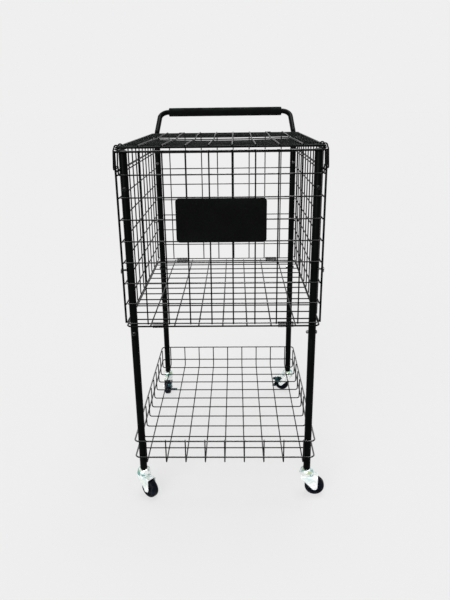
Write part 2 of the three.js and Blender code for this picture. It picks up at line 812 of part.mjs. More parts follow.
function handleTube() {
  const bendZ = basket.top + handle.bendRise;
  const side = (x) => [
    vec(x, post.y, endBolt.z - handle.plugDepth),
    vec(x, post.y, bendZ),
    vec(x - Math.sign(x) * handle.narrowing, handle.gripY, handle.gripZ),
  ];
  const route = [...side(-post.x), ...side(post.x).reverse()];
  const line = bent(route, handle.bendRadius, bendRings.thick);
  const holes = sides.map(({ x }) => crossHole(endBolt.z, false).translate(x * post.x, post.y, 0));
  return cut(rod(line, handle.radius, 0, facets.tube), holes);
}

function handleGrip() {
  const { radius, gripRadius, gripLength, gripRound } = handle;
  const half = gripLength / 2;
  const inner = boreRadius(radius, facets.wheel);
  return turned([
    [inner, -half],
    [gripRadius - gripRound, -half],
    [gripRadius, gripRound - half],
    [gripRadius, half - gripRound],
    [gripRadius - gripRound, half],
    [inner, half],
    [inner, -half],
  ], facets.wheel).rotateY(quarterTurn);
}

piece("handle_tube", handleTube(), colours.coat);
piece("handle_grip", handleGrip(), colours.foam).position.set(0, handle.gripY, handle.gripZ);

// Sign plate: a bare moulded plate with fingers that straddle two uprights of the front.
const signRung = rungLevels[sign.rung];

function signPlate() {
  const { width, height, thickness, cornerRadius, fingerReach, fingerWidth } = sign;
  const [x, z] = [width / 2 - cornerRadius, height / 2 - cornerRadius];
  const shape = new THREE.Shape();
  shape.absarc(x, z, cornerRadius, 0, quarterTurn);
  shape.absarc(-x, z, cornerRadius, quarterTurn, 2 * quarterTurn);
  shape.absarc(-x, -z, cornerRadius, 2 * quarterTurn, 3 * quarterTurn);
  shape.absarc(x, -z, cornerRadius, 3 * quarterTurn, 4 * quarterTurn);
  const parts = [sheet(shape, -thickness, 0)];
  const held = endUprights[Math.floor(endUprights.length / 2) + 1];
  const gap = wire.radius + clearance;
  for (const upright of [-held, held]) {
    for (const from of [upright - gap - fingerWidth, upright + gap]) {
      for (const rise of [-wire.pitch / 2, wire.pitch / 2]) {
        const low = rise - sign.rise - sign.fingerHeight / 2;
        const across = [from, from + fingerWidth];
        parts.push(block(across, [-thickness / 2, fingerReach], [low, low + sign.fingerHeight]));
      }
    }
  }
  return joined(parts);
}

const plate = piece("sign_plate", signPlate(), colours.plastic);
plate.position.set(0, -wall.y - wire.radius - clearance, signRung + sign.rise);

// Latch bails: wire loops that hang from the lid's side bars. Pressed in, a bail's foot is
// caught under the lip of a hook on the side panel; hanging free, it clears the lip.
bail.frontY = wire.thick - wall.halfDepth + bail.frontGap + bail.radius;
bail.rearY = lid.front + wire.pitch + wire.radius + bail.rungGap + bail.radius;
bail.width = bail.rearY - bail.frontY;
bail.shoulderX = wall.x + wire.radius + clearance + bail.radius - lid.halfX;
bail.footX = bail.shoulderX + bail.flare;
hook.x = wall.sideTopX + wire.thick + clearance;
hook.top = railZ + hook.lipRise;
hook.lip = lid.halfX + bail.footX - bail.radius - hook.lipGap - hook.x;
bail.drop = lid.z - hook.top + hook.thickness + hook.catchGap + bail.radius;

function latchBail() {
  const { eyeRadius, radius, width, drop, shoulderX, footX, bendRadius } = bail;
  const half = width / 2;
  const shoulderZ = wireTop - lid.z;
  const leg = (y) => [vec(eyeRadius, y, 0), vec(shoulderX, y, shoulderZ), vec(footX, y, -drop)];
  const line = bent([...leg(-half), ...leg(half).reverse()], bendRadius, bendRings.thin);
  const eye = new THREE.TorusGeometry(eyeRadius, radius, facets.bail, facets.eye);
  const eyes = [-half, half].map((y) => eye.clone().rotateX(quarterTurn).translate(0, y, 0));
  return joined([rod(line, radius, 0, facets.bail), ...eyes]);
}

function latchHook() {
  const { width, thickness, lip, top } = hook;
  const low = rungLevels[0] - wire.radius;
  const outline = new THREE.Shape();
  outline.moveTo(0, low);
  outline.lineTo(thickness, low);
  outline.lineTo(thickness, top - thickness);
  outline.lineTo(lip, top - thickness);
  outline.lineTo(lip, top);
  outline.lineTo(0, top);
  return sheet(outline, -width / 2, width / 2);
}

for (const { name, x } of sides) {
  const turn = x > 0 ? 0 : 2 * quarterTurn;
  const bailY = (bail.frontY + bail.rearY) / 2;
  const swing = placed(x * lid.halfX, bailY, lid.z, turn);
  piece(`latch_bail_${name}`, latchBail(), colours.coat, swing);
  piece(`latch_hook_${name}`, latchHook(), colours.coat, placed(x * hook.x, bailY, 0, turn));
}

// Stand the cart with the middle of its outline over the origin.
cart.updateMatrixWorld(true);
const outline = new THREE.Box3().setFromObject(cart, true);
const middle = outline.getCenter(new THREE.Vector3());
cart.position.set(-middle.x, -middle.y, -outline.min.z);

export default cart;
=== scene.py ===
import json
import random
from collections import namedtuple
from math import atan2, ceil, copysign, cos, hypot, pi, radians, sin, sqrt, tan

import bmesh
import bpy
from mathutils import Matrix, Vector


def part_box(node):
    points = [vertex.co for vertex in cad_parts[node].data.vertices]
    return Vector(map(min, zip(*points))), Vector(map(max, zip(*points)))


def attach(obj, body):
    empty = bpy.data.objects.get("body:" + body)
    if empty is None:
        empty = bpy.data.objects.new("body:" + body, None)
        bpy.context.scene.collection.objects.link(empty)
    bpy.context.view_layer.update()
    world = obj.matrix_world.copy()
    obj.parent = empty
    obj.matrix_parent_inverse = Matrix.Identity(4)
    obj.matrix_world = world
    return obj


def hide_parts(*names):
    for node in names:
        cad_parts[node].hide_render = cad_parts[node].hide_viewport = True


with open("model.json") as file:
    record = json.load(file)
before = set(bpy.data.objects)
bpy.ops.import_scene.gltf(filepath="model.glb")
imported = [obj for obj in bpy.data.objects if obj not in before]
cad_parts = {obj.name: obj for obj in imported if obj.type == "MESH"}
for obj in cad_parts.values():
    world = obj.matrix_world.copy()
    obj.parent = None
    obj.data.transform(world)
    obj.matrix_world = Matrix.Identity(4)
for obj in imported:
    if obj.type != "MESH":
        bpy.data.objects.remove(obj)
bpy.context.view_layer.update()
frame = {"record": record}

quarter, whole = pi / 2, 2 * pi

# Wires, as the CAD draws them
WIRE = 0.0016  # radius of a mesh wire
THICK = 0.0024  # of the wires that edge the panels
RIM = 0.002  # of the tray's rims and the bottom panel's frame
RIM_CORNER = 0.012
WELD = 0.0005  # how far outline wires are pressed into what they cross
TOUCH = 0.00005  # between inner wires where they cross
PITCH = 0.05  # between the uprights, and both ways in the lid and the bottom
CLEARANCE = 0.0003  # between pieces that seat on each other
END_UPRIGHTS = 8  # in the front and rear panels, and in the lid
SIDE_UPRIGHTS = 10  # between the edge wires of a side panel
RUNG_STEPS = 8  # between the top wire and the lowest rung of an end panel
RAIL_RISE = 0.009  # of a side panel's rail over the highest rung below it
WIRE_SIDES = 14
END_ROUNDING = 0.00035  # at the sheared end of a wire
BEAD = 0.0021  # radius of a weld bead
BEAD_THIN = 0.0011  # half its thickness
BEAD_SPREAD = 0.14  # share by which beads differ

# Tubes and sheet metal
TUBE = 0.009  # outer radius of posts and legs
TUBE_WALL = 0.0012
TUBE_SIDES = 48
TUBE_LIP = 0.0004  # rounding of a tube's cut end
SHEARED = 0.0003  # rounding of the edges of sheet metal


# Places
def ramp(start, end, steps):
    """Places from start to end, both included, in equal steps."""
    return [start + (end - start) * i / steps for i in range(steps + 1)]


def spaced(count, pitch):
    """Evenly spaced places, in the middle of a run."""
    return [(i - (count - 1) / 2) * pitch for i in range(count)]


def stepped(start, end, pitch):
    """Places from start, one pitch apart, that stop short of end."""
    return [start + i * pitch for i in range(ceil((end - start) / pitch))]


def arc(centre, radius, start, end, steps):
    """Points in a plane along an arc, in radians anticlockwise."""
    turns = ramp(start, end, steps)
    return [(centre[0] + radius * cos(a), centre[1] + radius * sin(a)) for a in turns]


def circle(radius, sides):
    return arc((0, 0), radius, 0, whole, sides)[:-1]


def round_rectangle(low, high, corner, steps):
    """An outline between two opposite corners, with all its corners round."""
    (x0, y0), (x1, y1) = low, high
    right, left, rear, front = x1 - corner, x0 + corner, y1 - corner, y0 + corner
    points = []
    for i, centre in enumerate(((right, rear), (left, rear), (left, front), (right, front))):
        points += arc(centre, corner, i * quarter, (i + 1) * quarter, steps)
    return points


def stadium(start, end, radius, steps=10):
    """An outline round two points, with round ends."""
    along = atan2(end[1] - start[1], end[0] - start[0])
    points = arc(end, radius, along - quarter, along + quarter, steps)
    return points + arc(start, radius, along + quarter, along + 3 * quarter, steps)


def sheet_section(half_wide, half_high, cut):
    """The section of a strip of sheet metal, with its corners cut."""
    a, b = half_wide, half_high
    points = [(a - cut, -b), (a, cut - b), (a, b - cut), (a - cut, b)]
    return points + [(cut - a, b), (-a, b - cut), (-a, cut - b), (cut - a, -b)]


def rounded(route, radius, steps=8):
    """A route with an arc of one radius at each of its inner corners."""
    line = [Vector(point) for point in route]
    points = [line[0]]
    for before, corner, after in zip(line, line[1:], line[2:]):
        arrive = (corner - before).normalized()
        leave = (after - corner).normalized()
        angle = arrive.angle(leave)
        inward = (leave - arrive * cos(angle)).normalized()
        start = corner - arrive * radius * tan(angle / 2)
        for turn in ramp(0, angle, steps):
            step = arrive * radius * sin(turn) + inward * radius * (1 - cos(turn))
            points.append(start + step)
    return points + [line[-1]]


shift = Matrix.Translation


def spin(angle, axis):
    return Matrix.Rotation(angle, 4, axis)


def aimed(point, direction):
    """A place whose Z axis points in a direction."""
    return shift(point) @ Vector(direction).to_track_quat("Z", "Y").to_matrix().to_4x4()


def centre_of(node):
    low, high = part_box(node)
    return (low + high) / 2


# Solids
class Form:
    """The piece that stands for a CAD node: the node's box, and the solids added to it in a place."""

    def __init__(self, node, place=None):
        self.node = node
        self.low, self.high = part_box(node)
        self.centre = centre_of(node)
        self.half = (self.high - self.low) / 2
        self.place = place or Matrix.Identity(4)
        self.verts = []
        self.faces = []

    def add(self, verts, faces):
        first = len(self.verts)
        self.verts += [self.place @ Vector(v) for v in verts]
        self.faces += [[first + i for i in face] for face in faces]


def joined(rings, around, closed=False):
    """Faces that join each ring to the next, for rings of so many points around."""
    faces = []
    for i in range(rings if closed else rings - 1):
        here, there = i * around, (i + 1) % rings * around
        for j in range(around):
            k = (j + 1) % around
            faces.append([here + j, here + k, there + k, there + j])
    return faces


def flat_ends(rings, around):
    return [list(range(around)), list(range((rings - 1) * around, rings * around))]


def sweep(form, route, section, up=(0, 0, 1), closed=False, scales=None):
    """A solid along a route. Each pair of its section lies sideways and upwards."""
    points = [Vector(point) for point in route]
    count = len(points)
    normal = Vector(up)
    verts = []
    for i, point in enumerate(points):
        before = points[i - 1] if closed or i else point
        after = points[(i + 1) % count] if closed or i < count - 1 else point
        arrive = (point - before).normalized()
        tangent = (arrive + (after - point).normalized()).normalized()
        normal = (normal - tangent * normal.dot(tangent)).normalized()
        side = tangent.cross(normal)
        size = scales[i] if scales else 1
        verts += [point + size * (a * side + b * normal) for a, b in section]
    faces = joined(count, len(section), closed)
    if not closed:
        faces += flat_ends(count, len(section))
    form.add(verts, faces)


def rod(form, route, radius, sides=WIRE_SIDES, rounding=END_ROUNDING):
    """A round bar along a route, with its cut ends rounded off in two steps."""
    points = [Vector(point) for point in route]
    start = (points[1] - points[0]).normalized() * rounding
    end = (points[-2] - points[-1]).normalized() * rounding
    head = [points[0], points[0] + start / 3, points[0] + start]
    tail = [points[-1] + end, points[-1] + end / 3, points[-1]]
    small, nearly = 1 - rounding / radius, 1 - rounding / radius / 3
    scales = [small, nearly, 1] + [1] * (len(points) - 2) + [1, nearly, small]
    is_steep = abs(start.normalized().z) > cos(quarter / 2)
    up = (0, 1, 0) if is_steep else (0, 0, 1)
    sweep(form, head + points[1:-1] + tail, circle(radius, sides), up, scales=scales)


def lathe(form, profile, place=None, sides=TUBE_SIDES, closed=False):
    """A turned part on the local Z axis, from pairs of radius and height."""
    place = place or Matrix.Identity(4)
    verts, rings, faces = [], [], []
    for radius, height in profile:
        ring = circle(radius, sides if radius else 1)
        rings.append(range(len(verts), len(verts) + len(ring)))
        verts += [place @ Vector((x, y, height)) for x, y in ring]
    for here, there in zip(rings, rings[1:] + (rings[:1] if closed else [])):
        for i in range(sides):
            k = (i + 1) % sides
            face = [here[i % len(here)], here[k % len(here)], there[k % len(there)], there[i % len(there)]]
            faces.append(list(dict.fromkeys(face)))
    form.add(verts, [face for face in faces if len(face) > 2])


def slab(form, outline, low, high):
    """Sheet metal from an outline in X and Z, between two places along Y."""
    verts = [(x, y, z) for y in (low, high) for x, z in outline]
    form.add(verts, joined(2, len(outline)) + flat_ends(2, len(outline)))


def strip(form, route, width, thickness, across):
    """A flat strip along a route, as wide as width along the direction across."""
    sweep(form, route, sheet_section(thickness / 2, width / 2, thickness / 4), up=across)


beads = random.Random(4)


def bead(form, centre, turn=None):
    """The blob of coated weld at a crossing of two wires, which meet along local Z."""
    spread = 1 + BEAD_SPREAD * (2 * beads.random() - 1)
    wide, thin = BEAD * spread, BEAD_THIN * spread
    bulge = [(wide * sin(polar), thin * cos(polar)) for polar in ramp(0, pi, 4)[1:-1]]
    place = shift(centre) @ (turn or Matrix.Identity(4))
    lathe(form, [(0, thin)] + bulge + [(0, -thin)], place, sides=10)


# Finished pieces
SHARP = radians(38)  # an edge that turns further isn't shaded smooth
bodies = frame["record"]["behaviour"]["bodies"]
body_of = {node: body for body, nodes in bodies.items() for node in nodes}


def linked(name, data):
    made = bpy.data.objects.new(name, data)
    bpy.context.scene.collection.objects.link(made)
    return made


def finish(form, kind, slot="black_coat", coat=None, bevel=0):
    """Makes a form's shaded piece, which rides on the body of the node that it stands for."""
    name, node = f"{form.node}_{kind}", form.node
    mesh = bpy.data.meshes.new(name)
    mesh.from_pydata(form.verts, [], form.faces)
    work = bmesh.new()
    work.from_mesh(mesh)
    bmesh.ops.recalc_face_normals(work, faces=work.faces)
    work.to_mesh(mesh)
    work.free()
    mesh.shade_smooth()
    mesh.set_sharp_from_angle(angle=SHARP)
    mesh.materials.append(finishes[coat or slot])
    made = linked(name, mesh)
    if bevel:
        edge = made.modifiers.new("edges", "BEVEL")
        edge.width = bevel
        edge.segments = 2
        edge.angle_limit = SHARP
        edge.harden_normals = True
    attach(made, body_of[node])
    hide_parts(node)
    return made


# Materials
def feed(tree, socket, value):
    """Links a socket from another one or sets its value, where a colour is red, green and blue."""
    if isinstance(value, bpy.types.NodeSocket):
        tree.links.new(value, socket)
    elif socket.type == "RGBA":
        socket.default_value = (*value, 1)
    else:
        socket.default_value = value


def scaled(colour, red, green, blue):
    return colour[0] * red, colour[1] * green, colour[2] * blue


class Shader:
    """The nodes of a material or a world, made and linked by short calls."""

    def __init__(self, name, colour=None, stock=bpy.data.materials):
        self.owner = stock.new(name)
        self.owner.use_nodes = True
        self.tree = self.owner.node_tree
        self.output = next(node for node in self.tree.nodes if "OUTPUT" in node.type)
        self.surface = self.output.inputs["Surface"].links[0].from_node
        coordinates = self.tree.nodes.new("ShaderNodeTexCoord")
        self.place = coordinates.outputs["Object"]
        self.normal = coordinates.outputs["Normal"]
        self.colour = colour
        self.relief = None

    def node(self, kind, inputs, **settings):
        made = self.tree.nodes.new(kind)
        for key, value in settings.items():
            setattr(made, key, value)
        for socket, value in inputs.items():
            feed(self.tree, made.inputs[socket], value)
        return made

    def noise(self, scale, detail=2, roughness=0.5, distortion=0):
        inputs = {"Vector": self.place, "Scale": scale, "Detail": detail}
        inputs |= {"Roughness": roughness, "Distortion": distortion}
        return self.node("ShaderNodeTexNoise", inputs).outputs["Fac"]

    def cells(self, scale):
        inputs = {"Vector": self.place, "Scale": scale}
        return self.node("ShaderNodeTexVoronoi", inputs).outputs["Distance"]

    def span(self, value, low, high, start=0, end=1):
        """A value from low to high, spread smoothly over start to end."""
        inputs = {"Value": value, "From Min": low, "From Max": high, "To Min": start, "To Max": end}
        return self.node("ShaderNodeMapRange", inputs, interpolation_type="SMOOTHSTEP").outputs[0]

    def patches(self, scale, detail, low, high):
        """Noise as patches, whole above high and gone below low."""
        return self.span(self.noise(scale, detail), low, high)

    def maths(self, operation, a, b):
        return self.node("ShaderNodeMath", {0: a, 1: b}, operation=operation).outputs[0]

    def times(self, a, b):
        return self.maths("MULTIPLY", a, b)

    def facing_up(self, low, high):
        """How far the surface faces up in the piece's own frame."""
        parts = self.node("ShaderNodeSeparateXYZ", {0: self.normal})
        return self.span(parts.outputs["Z"], low, high)

    def edges(self, low, high):
        """Where the surface turns an outer edge."""
        pointed = self.tree.nodes.new("ShaderNodeNewGeometry").outputs["Pointiness"]
        return self.span(pointed, low, high)

    def cover(self, share, colour):
        """Lays a colour over the surface, whole where the share is one."""
        made = self.node("ShaderNodeMix", {}, data_type="RGBA")
        colours = [socket for socket in made.inputs if socket.type == "RGBA"]
        for socket, value in zip([made.inputs[0]] + colours, (share, self.colour, colour)):
            feed(self.tree, socket, value)
        self.colour = next(socket for socket in made.outputs if socket.type == "RGBA")
        self.set(Base_Color=self.colour)

    def bump(self, height, strength, distance):
        """Raises the surface, on top of the bumps that it has."""
        inputs = {"Height": height, "Strength": strength, "Distance": distance}
        if self.relief:
            inputs["Normal"] = self.relief
        self.relief = self.node("ShaderNodeBump", inputs).outputs["Normal"]
        self.set(Normal=self.relief)

    def set(self, **inputs):
        """Sets or links the surface's own sockets. An underscore stands for a space."""
        for name, value in inputs.items():
            feed(self.tree, self.surface.inputs[name.replace("_", " ")], value)

    def seen(self):
        """One for rays from the camera and for those that gloss and glass send on."""
        rays = self.tree.nodes.new("ShaderNodeLightPath").outputs
        direct = self.maths("MAXIMUM", rays["Is Camera Ray"], rays["Is Glossy Ray"])
        return self.maths("MAXIMUM", direct, rays["Is Transmission Ray"])

    def show(self, share, kind):
        """Shows a plain pale shader instead, whole where the share is one."""
        shown = self.node(kind, {"Color": PALE}).outputs[0]
        mixed = self.node("ShaderNodeMixShader", {0: share, 1: self.surface.outputs[0], 2: shown})
        feed(self.tree, self.output.inputs["Surface"], mixed.outputs[0])


def powder_coat(name, dust_and_highlight_share, polish, steep=0.66):
    """Black powder coat: orange peel, dust with a painted highlight on the faces that look up, worn edges,
    and gloss where it faces up more than steep.
    """
    shader = Shader(name, (0.0007, 0.0009, 0.0009))
    shader.cover(shader.patches(9, 4, 0.35, 0.65), (0.0018, 0.0024, 0.0022))
    grain = shader.span(shader.noise(60, 5, 0.65), 0.25, 0.75, 0.4, 1)
    # Dust on the faces that look up, lightened further as a painted highlight of the light from above
    dust_and_highlight_mask = shader.times(shader.facing_up(0.3, 0.9), grain)
    shader.cover(shader.times(dust_and_highlight_mask, dust_and_highlight_share), (0.05, 0.075, 0.064))
    lighter_patches = shader.times(shader.edges(0.56, 0.66), shader.patches(340, 3, 0.6, 0.68))
    shader.cover(shader.times(lighter_patches, 0.5), (0.12, 0.125, 0.125))
    rough = shader.span(shader.noise(45, 4), 0.3, 0.7, 0.24, 0.34)
    shader.set(Roughness=shader.maths("ADD", rough, shader.times(dust_and_highlight_mask, 0.08)), Specular_IOR_Level=0.03)
    shader.bump(shader.noise(900, 1), 0.22, 0.0002)
    shader.bump(shader.noise(160), 0.12, 0.0006)
    top = shader.times(shader.facing_up(steep, steep + 0.2), polish)
    shader.set(Coat_Weight=top, Coat_Roughness=0.16, Coat_IOR=2.6)
    return shader.owner


def black_fastener():
    """Black oxide on steel, brighter where a tool has rubbed it."""
    shader = Shader("black oxide fastener", (0.005, 0.0055, 0.006))
    stain = shader.noise(260, 4)
    shader.cover(shader.span(stain, 0.3, 0.7), (0.014, 0.015, 0.016))
    rubbed = shader.times(shader.edges(0.52, 0.6), shader.patches(800, 3, 0.42, 0.62))
    shader.cover(rubbed, (0.42, 0.43, 0.42))
    shader.set(Roughness=shader.span(stain, 0.3, 0.7, 0.14, 0.28), Metallic=1)
    shader.bump(shader.noise(1500), 0.15, 0.0001)
    shader.set(Coat_Weight=shader.facing_up(0.45, 0.8), Coat_Roughness=0.1, Coat_IOR=2.4)
    return shader.owner


def grip_foam():
    """Closed-cell foam sleeve: fine open pores in the skin, a soft, matt surface, and worn patches on top
    with a painted highlight.
    """
    shader = Shader("grip foam", (0.0014, 0.0016, 0.0015))
    mottle = shader.noise(55, 5)
    shader.cover(shader.span(mottle, 0.3, 0.7), (0.0036, 0.0046, 0.004))
    # Lighter patches on top: partly wear, partly a painted highlight where light falls on the upper side
    lighter_patches = shader.times(shader.facing_up(0.2, 1), shader.patches(26, 3, 0.4, 0.6))
    shader.cover(shader.times(lighter_patches, 0.6), (0.018, 0.029, 0.022))
    shader.set(Roughness=shader.span(mottle, 0.3, 0.7, 0.78, 0.92))
    shader.bump(shader.span(shader.cells(1500), 0.1, 0.5), 0.55, 0.0003)
    shader.bump(shader.noise(240, 3), 0.2, 0.0008)
    shader.set(Specular_IOR_Level=0.06, Sheen_Weight=0.01, Sheen_Roughness=0.4)
    return shader.owner


def sign_plastic():
    """Moulded plastic with a fine grain, smooth patches and hairline scuffs."""
    shader = Shader("moulded plastic", (0.0007, 0.0008, 0.0009))
    cloud = shader.noise(14, 4)
    shader.cover(shader.span(cloud, 0.35, 0.65), (0.0018, 0.002, 0.0021))
    slant = {"Vector": shader.place, "Rotation": (0, radians(24), 0), "Scale": (60, 60, 1400)}
    streak = shader.node("ShaderNodeMapping", slant).outputs[0]
    hair = shader.node("ShaderNodeTexNoise", {"Vector": streak, "Scale": 1, "Detail": 2})
    scuff = shader.times(shader.span(hair.outputs["Fac"], 0.66, 0.74), 0.12)
    edge = shader.times(shader.edges(0.53, 0.6), shader.patches(500, 2, 0.45, 0.65))
    shader.cover(shader.maths("MAXIMUM", scuff, shader.times(edge, 0.5)), (0.05, 0.052, 0.054))
    shader.set(Roughness=shader.span(cloud, 0.3, 0.7, 0.34, 0.46), Specular_IOR_Level=0.03)
    shader.bump(shader.cells(1300), 0.16, 0.0002)
    return shader.owner


def zinc_plate(name, film, satin, clean=(0.96, 0.975, 0.975), cyan=(0.16, 0.5, 0.48)):
    """Zinc under a passivated film: how much cyan and straw film, how satin, and its colours."""
    shader = Shader(name, clean)
    cloud, drift = shader.noise(75, 3, distortion=0.8), shader.noise(62, 3, distortion=1.2)
    shader.cover(shader.span(cloud, 0.46, 0.66, 0, film), cyan)
    shader.cover(shader.span(drift, 0.53, 0.68, 0, film), scaled(clean, 0.6, 0.72, 0.42))
    dull = shader.span(shader.noise(420, 4), 0.55, 0.8, 0, 0.3)
    shader.cover(dull, scaled(clean, 0.7, 0.75, 0.75))
    bright = [min(0.97, 4 * value) for value in clean]
    shader.cover(shader.times(shader.edges(0.53, 0.62), 0.5), bright)
    rough = shader.span(shader.noise(180, 4), 0.3, 0.7, 0.16 + 0.5 * satin, 0.3 + 0.6 * satin)
    shader.set(Roughness=rough, Metallic=1 - satin)
    shader.bump(shader.noise(1400), 0.12, 0.0001)
    shader.bump(shader.noise(120), 0.12, 0.0008)
    return shader.owner


def wheel_rubber():
    """Black moulded rubber, greyed where its edges rub on the floor."""
    shader = Shader("wheel rubber", (0.0006, 0.001, 0.0028))
    cloud = shader.noise(80, 5, 0.65)
    shader.cover(shader.span(cloud, 0.3, 0.7), (0.004, 0.006, 0.013))
    scuffs = shader.times(shader.edges(0.505, 0.54), shader.patches(320, 4, 0.45, 0.7))
    shader.cover(shader.times(scuffs, 0.55), (0.055, 0.054, 0.05))
    shader.set(Roughness=shader.span(cloud, 0.3, 0.7, 0.3, 0.46), Specular_IOR_Level=0.05)
    shader.bump(shader.noise(1600), 0.2, 0.0002)
    shader.bump(shader.noise(300, 3), 0.15, 0.0004)
    return shader.owner


# A powder coat's second number is how far dust and a painted highlight lighten the faces that look up
finishes = {
    "black_coat": powder_coat("black powder coat", 0.06, 0.04),
    "wire_coat": powder_coat("black powder coat on wire", 0.35, 1, 0.5),
    "rim_coat": powder_coat("black powder coat on rims", 0.4, 0.9, 0.68),
    "grille_coat": powder_coat("black powder coat on flat grilles", 0.16, 0.9, 0.86),
    "bolt_black": black_fastener(),
    "grip_foam": grip_foam(),
    "sign_plastic": sign_plastic(),
    "zinc": zinc_plate("satin zinc", 0.3, 0.52),
    "film_zinc": zinc_plate("passivated zinc", 1, 0, cyan=(0.1, 0.4, 0.37)),
    "blue_zinc": zinc_plate("blue passivated zinc", 0.9, 0.05, (0.009, 0.022, 0.026), (0.035, 0.1, 0.11)),
    "wheel_tread": wheel_rubber(),
}

# Welded wire panels, drawn lying down: uprights run along Y, rungs along X under them
Wire = namedtuple("Wire", "at start end radius pressed", defaults=(WIRE, False))


def wire_panel(form, uprights, rungs, steps=1):
    """Uprights over rungs, each in a number of steps, with a weld bead where they cross."""
    for wire in uprights:
        height = wire.radius - WIRE - (WELD if wire.pressed else 0)
        rod(form, [(wire.at, y, height) for y in ramp(wire.start, wire.end, steps)], wire.radius)
    for wire in rungs:
        height = -WIRE - wire.radius - (-WELD if wire.pressed else TOUCH)
        rod(form, [(x, wire.at, height) for x in ramp(wire.start, wire.end, steps)], wire.radius)
    for upright in uprights:
        for rung in rungs:
            if rung.start < upright.at < rung.end and upright.start < rung.at < upright.end:
                bead(form, (upright.at, rung.at, -WIRE))


def axis_of(corner):
    """The foot of the axis that a corner's post, leg and caster share."""
    centre = centre_of(f"leg_{corner}")
    return Vector((centre.x, centre.y, 0))


rear_post = centre_of("post_rear_right")
middle = (centre_of("post_front_left") + rear_post) / 2
front_low, front_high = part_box("front_panel")
top_wire = front_high.z - THICK
lowest_rung = front_low.z + WIRE
rung_pitch = (top_wire - lowest_rung) / RUNG_STEPS
rung_levels = [top_wire - rung_pitch * step for step in range(1, RUNG_STEPS)]
end_uprights = spaced(END_UPRIGHTS, PITCH)
side_rise = THICK - WIRE - WELD  # of a side panel's edge wires over its uprights, in their middles
wall_x = (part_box("right_panel")[1].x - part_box("left_panel")[0].x) / 2 - side_rise - THICK
wall_y = middle.y - front_low.y - WIRE


def wall(node, coat, turn, x, y, uprights, rails):
    """A standing panel. Each of its uprights has a place, a radius, and if it is pressed in."""
    form = Form(node, shift((middle.x + x, middle.y + y, 0)) @ spin(turn, "Z") @ spin(quarter, "X"))
    low, high, half = form.low.z, form.high.z, max(form.half.x, form.half.y)
    rungs = [Wire(at, -half, half) for at in rung_levels]
    rungs.append(Wire(low + WIRE, -half, half, WIRE, True))
    rungs += [Wire(at, -half, half, THICK, True) for at in rails]
    wire_panel(form, [Wire(at, low, high, *kind) for at, *kind in uprights], rungs)
    finish(form, "wires", coat=coat)


end_wires = [(at, WIRE, abs(at) == end_uprights[-1]) for at in end_uprights]
side_edge = Form("right_panel").half.y - THICK
side_wires = [(at, WIRE, False) for at in spaced(SIDE_UPRIGHTS, 2 * side_edge / (SIDE_UPRIGHTS + 1))]
side_wires += [(-side_edge, THICK, True), (side_edge, THICK, True)]
side_rails = rung_levels[0] + RAIL_RISE, top_wire
wall("front_panel", "wire_coat", 0, 0, -wall_y, end_wires, [top_wire])
wall("rear_panel", "wire_coat", pi, 0, wall_y, end_wires, [top_wire])
wall("right_panel", "grille_coat", quarter, wall_x, 0, side_wires, side_rails)
wall("left_panel", "grille_coat", -quarter, -wall_x, 0, side_wires, side_rails)


def rim(form, half_x, half_y, height):
    """A closed rectangle of rim wire with round corners."""
    outline = round_rectangle((-half_x, -half_y), (half_x, half_y), RIM_CORNER, 8)
    sweep(form, [(x, y, height) for x, y in outline], circle(RIM, WIRE_SIDES), closed=True)


# Bottom panel: a frame under wires both ways
BOTTOM_WIRES = 7  # that run from front to back


def bottom_panel():
    form = Form("bottom_panel")
    form.place = shift((middle.x, middle.y, form.high.z - WIRE))
    half_x = form.half.x - RIM * cos(pi / 6)  # the CAD's wire is six-sided
    reach = form.half.y
    half_y = reach - RIM
    rim(form, half_x, half_y, -WIRE - RIM + WELD)
    uprights = [Wire(at, -reach, reach) for at in spaced(BOTTOM_WIRES, 2 * half_x / (BOTTOM_WIRES + 1))]
    clear = rear_post.y - middle.y - TUBE
    rungs = [Wire(at, -half_x, half_x) for at in spaced(int(2 * clear / PITCH), PITCH)]
    wire_panel(form, uprights, rungs)
    for wire in uprights:
        for y in (-half_y, half_y):
            bead(form, (wire.at, y, -WIRE))
    finish(form, "wires", coat="grille_coat")


bottom_panel()

# Tray: two rims, and wires bent up at both ends to the upper one
TRAY_BEND = 0.006
TRAY_LONG = 9  # wires that run from front to back
TRAY_LOW_RIM = 0.0185  # lower rim above the floor wires
TRAY_CROSS_START = 0.066  # first cross wire behind the front rim
TRAY_CROSS_PITCH = 0.055


def tray():
    form, rims = (Form("tray", shift((middle.x, middle.y, 0))) for _ in range(2))
    half_x, half_y = form.half.x - RIM, form.half.y - RIM
    floor, top = form.low.z + WIRE, form.high.z
    levels = (floor + TRAY_LOW_RIM, top - RIM)
    for level in levels:
        rim(rims, half_x, half_y, level)
    finish(rims, "rims", coat="rim_coat")

    press = WIRE + RIM - WELD
    side_x, end_y = half_x - press, half_y - press
    last = rear_post.y - middle.y - TUBE - CLEARANCE - WIRE
    longs = spaced(TRAY_LONG, PITCH)
    crosses = stepped(TRAY_CROSS_START - half_y, last, TRAY_CROSS_PITCH)

    def bent_up(x0, y0, x1, y1, level):
        line = [(x0, y0, top), (x0, y0, level), (x1, y1, level), (x1, y1, top)]
        rod(form, rounded(line, TRAY_BEND), WIRE)

    for x in longs:
        bent_up(x, -end_y, x, end_y, floor)
    for y in crosses:
        bent_up(-side_x, y, side_x, y, floor + 2 * WIRE + TOUCH)
    for x in longs:
        for y in crosses:
            bead(form, (x, y, floor + WIRE))
    for level in levels:
        for x in longs:
            for y in (-end_y - WIRE, end_y + WIRE):
                bead(form, (x, y, level), spin(quarter, "X"))
        for y in crosses:
            for x in (-side_x - WIRE, side_x + WIRE):
                bead(form, (x, y, level), spin(quarter, "Y"))
    finish(form, "wires", coat="grille_coat")


tray()

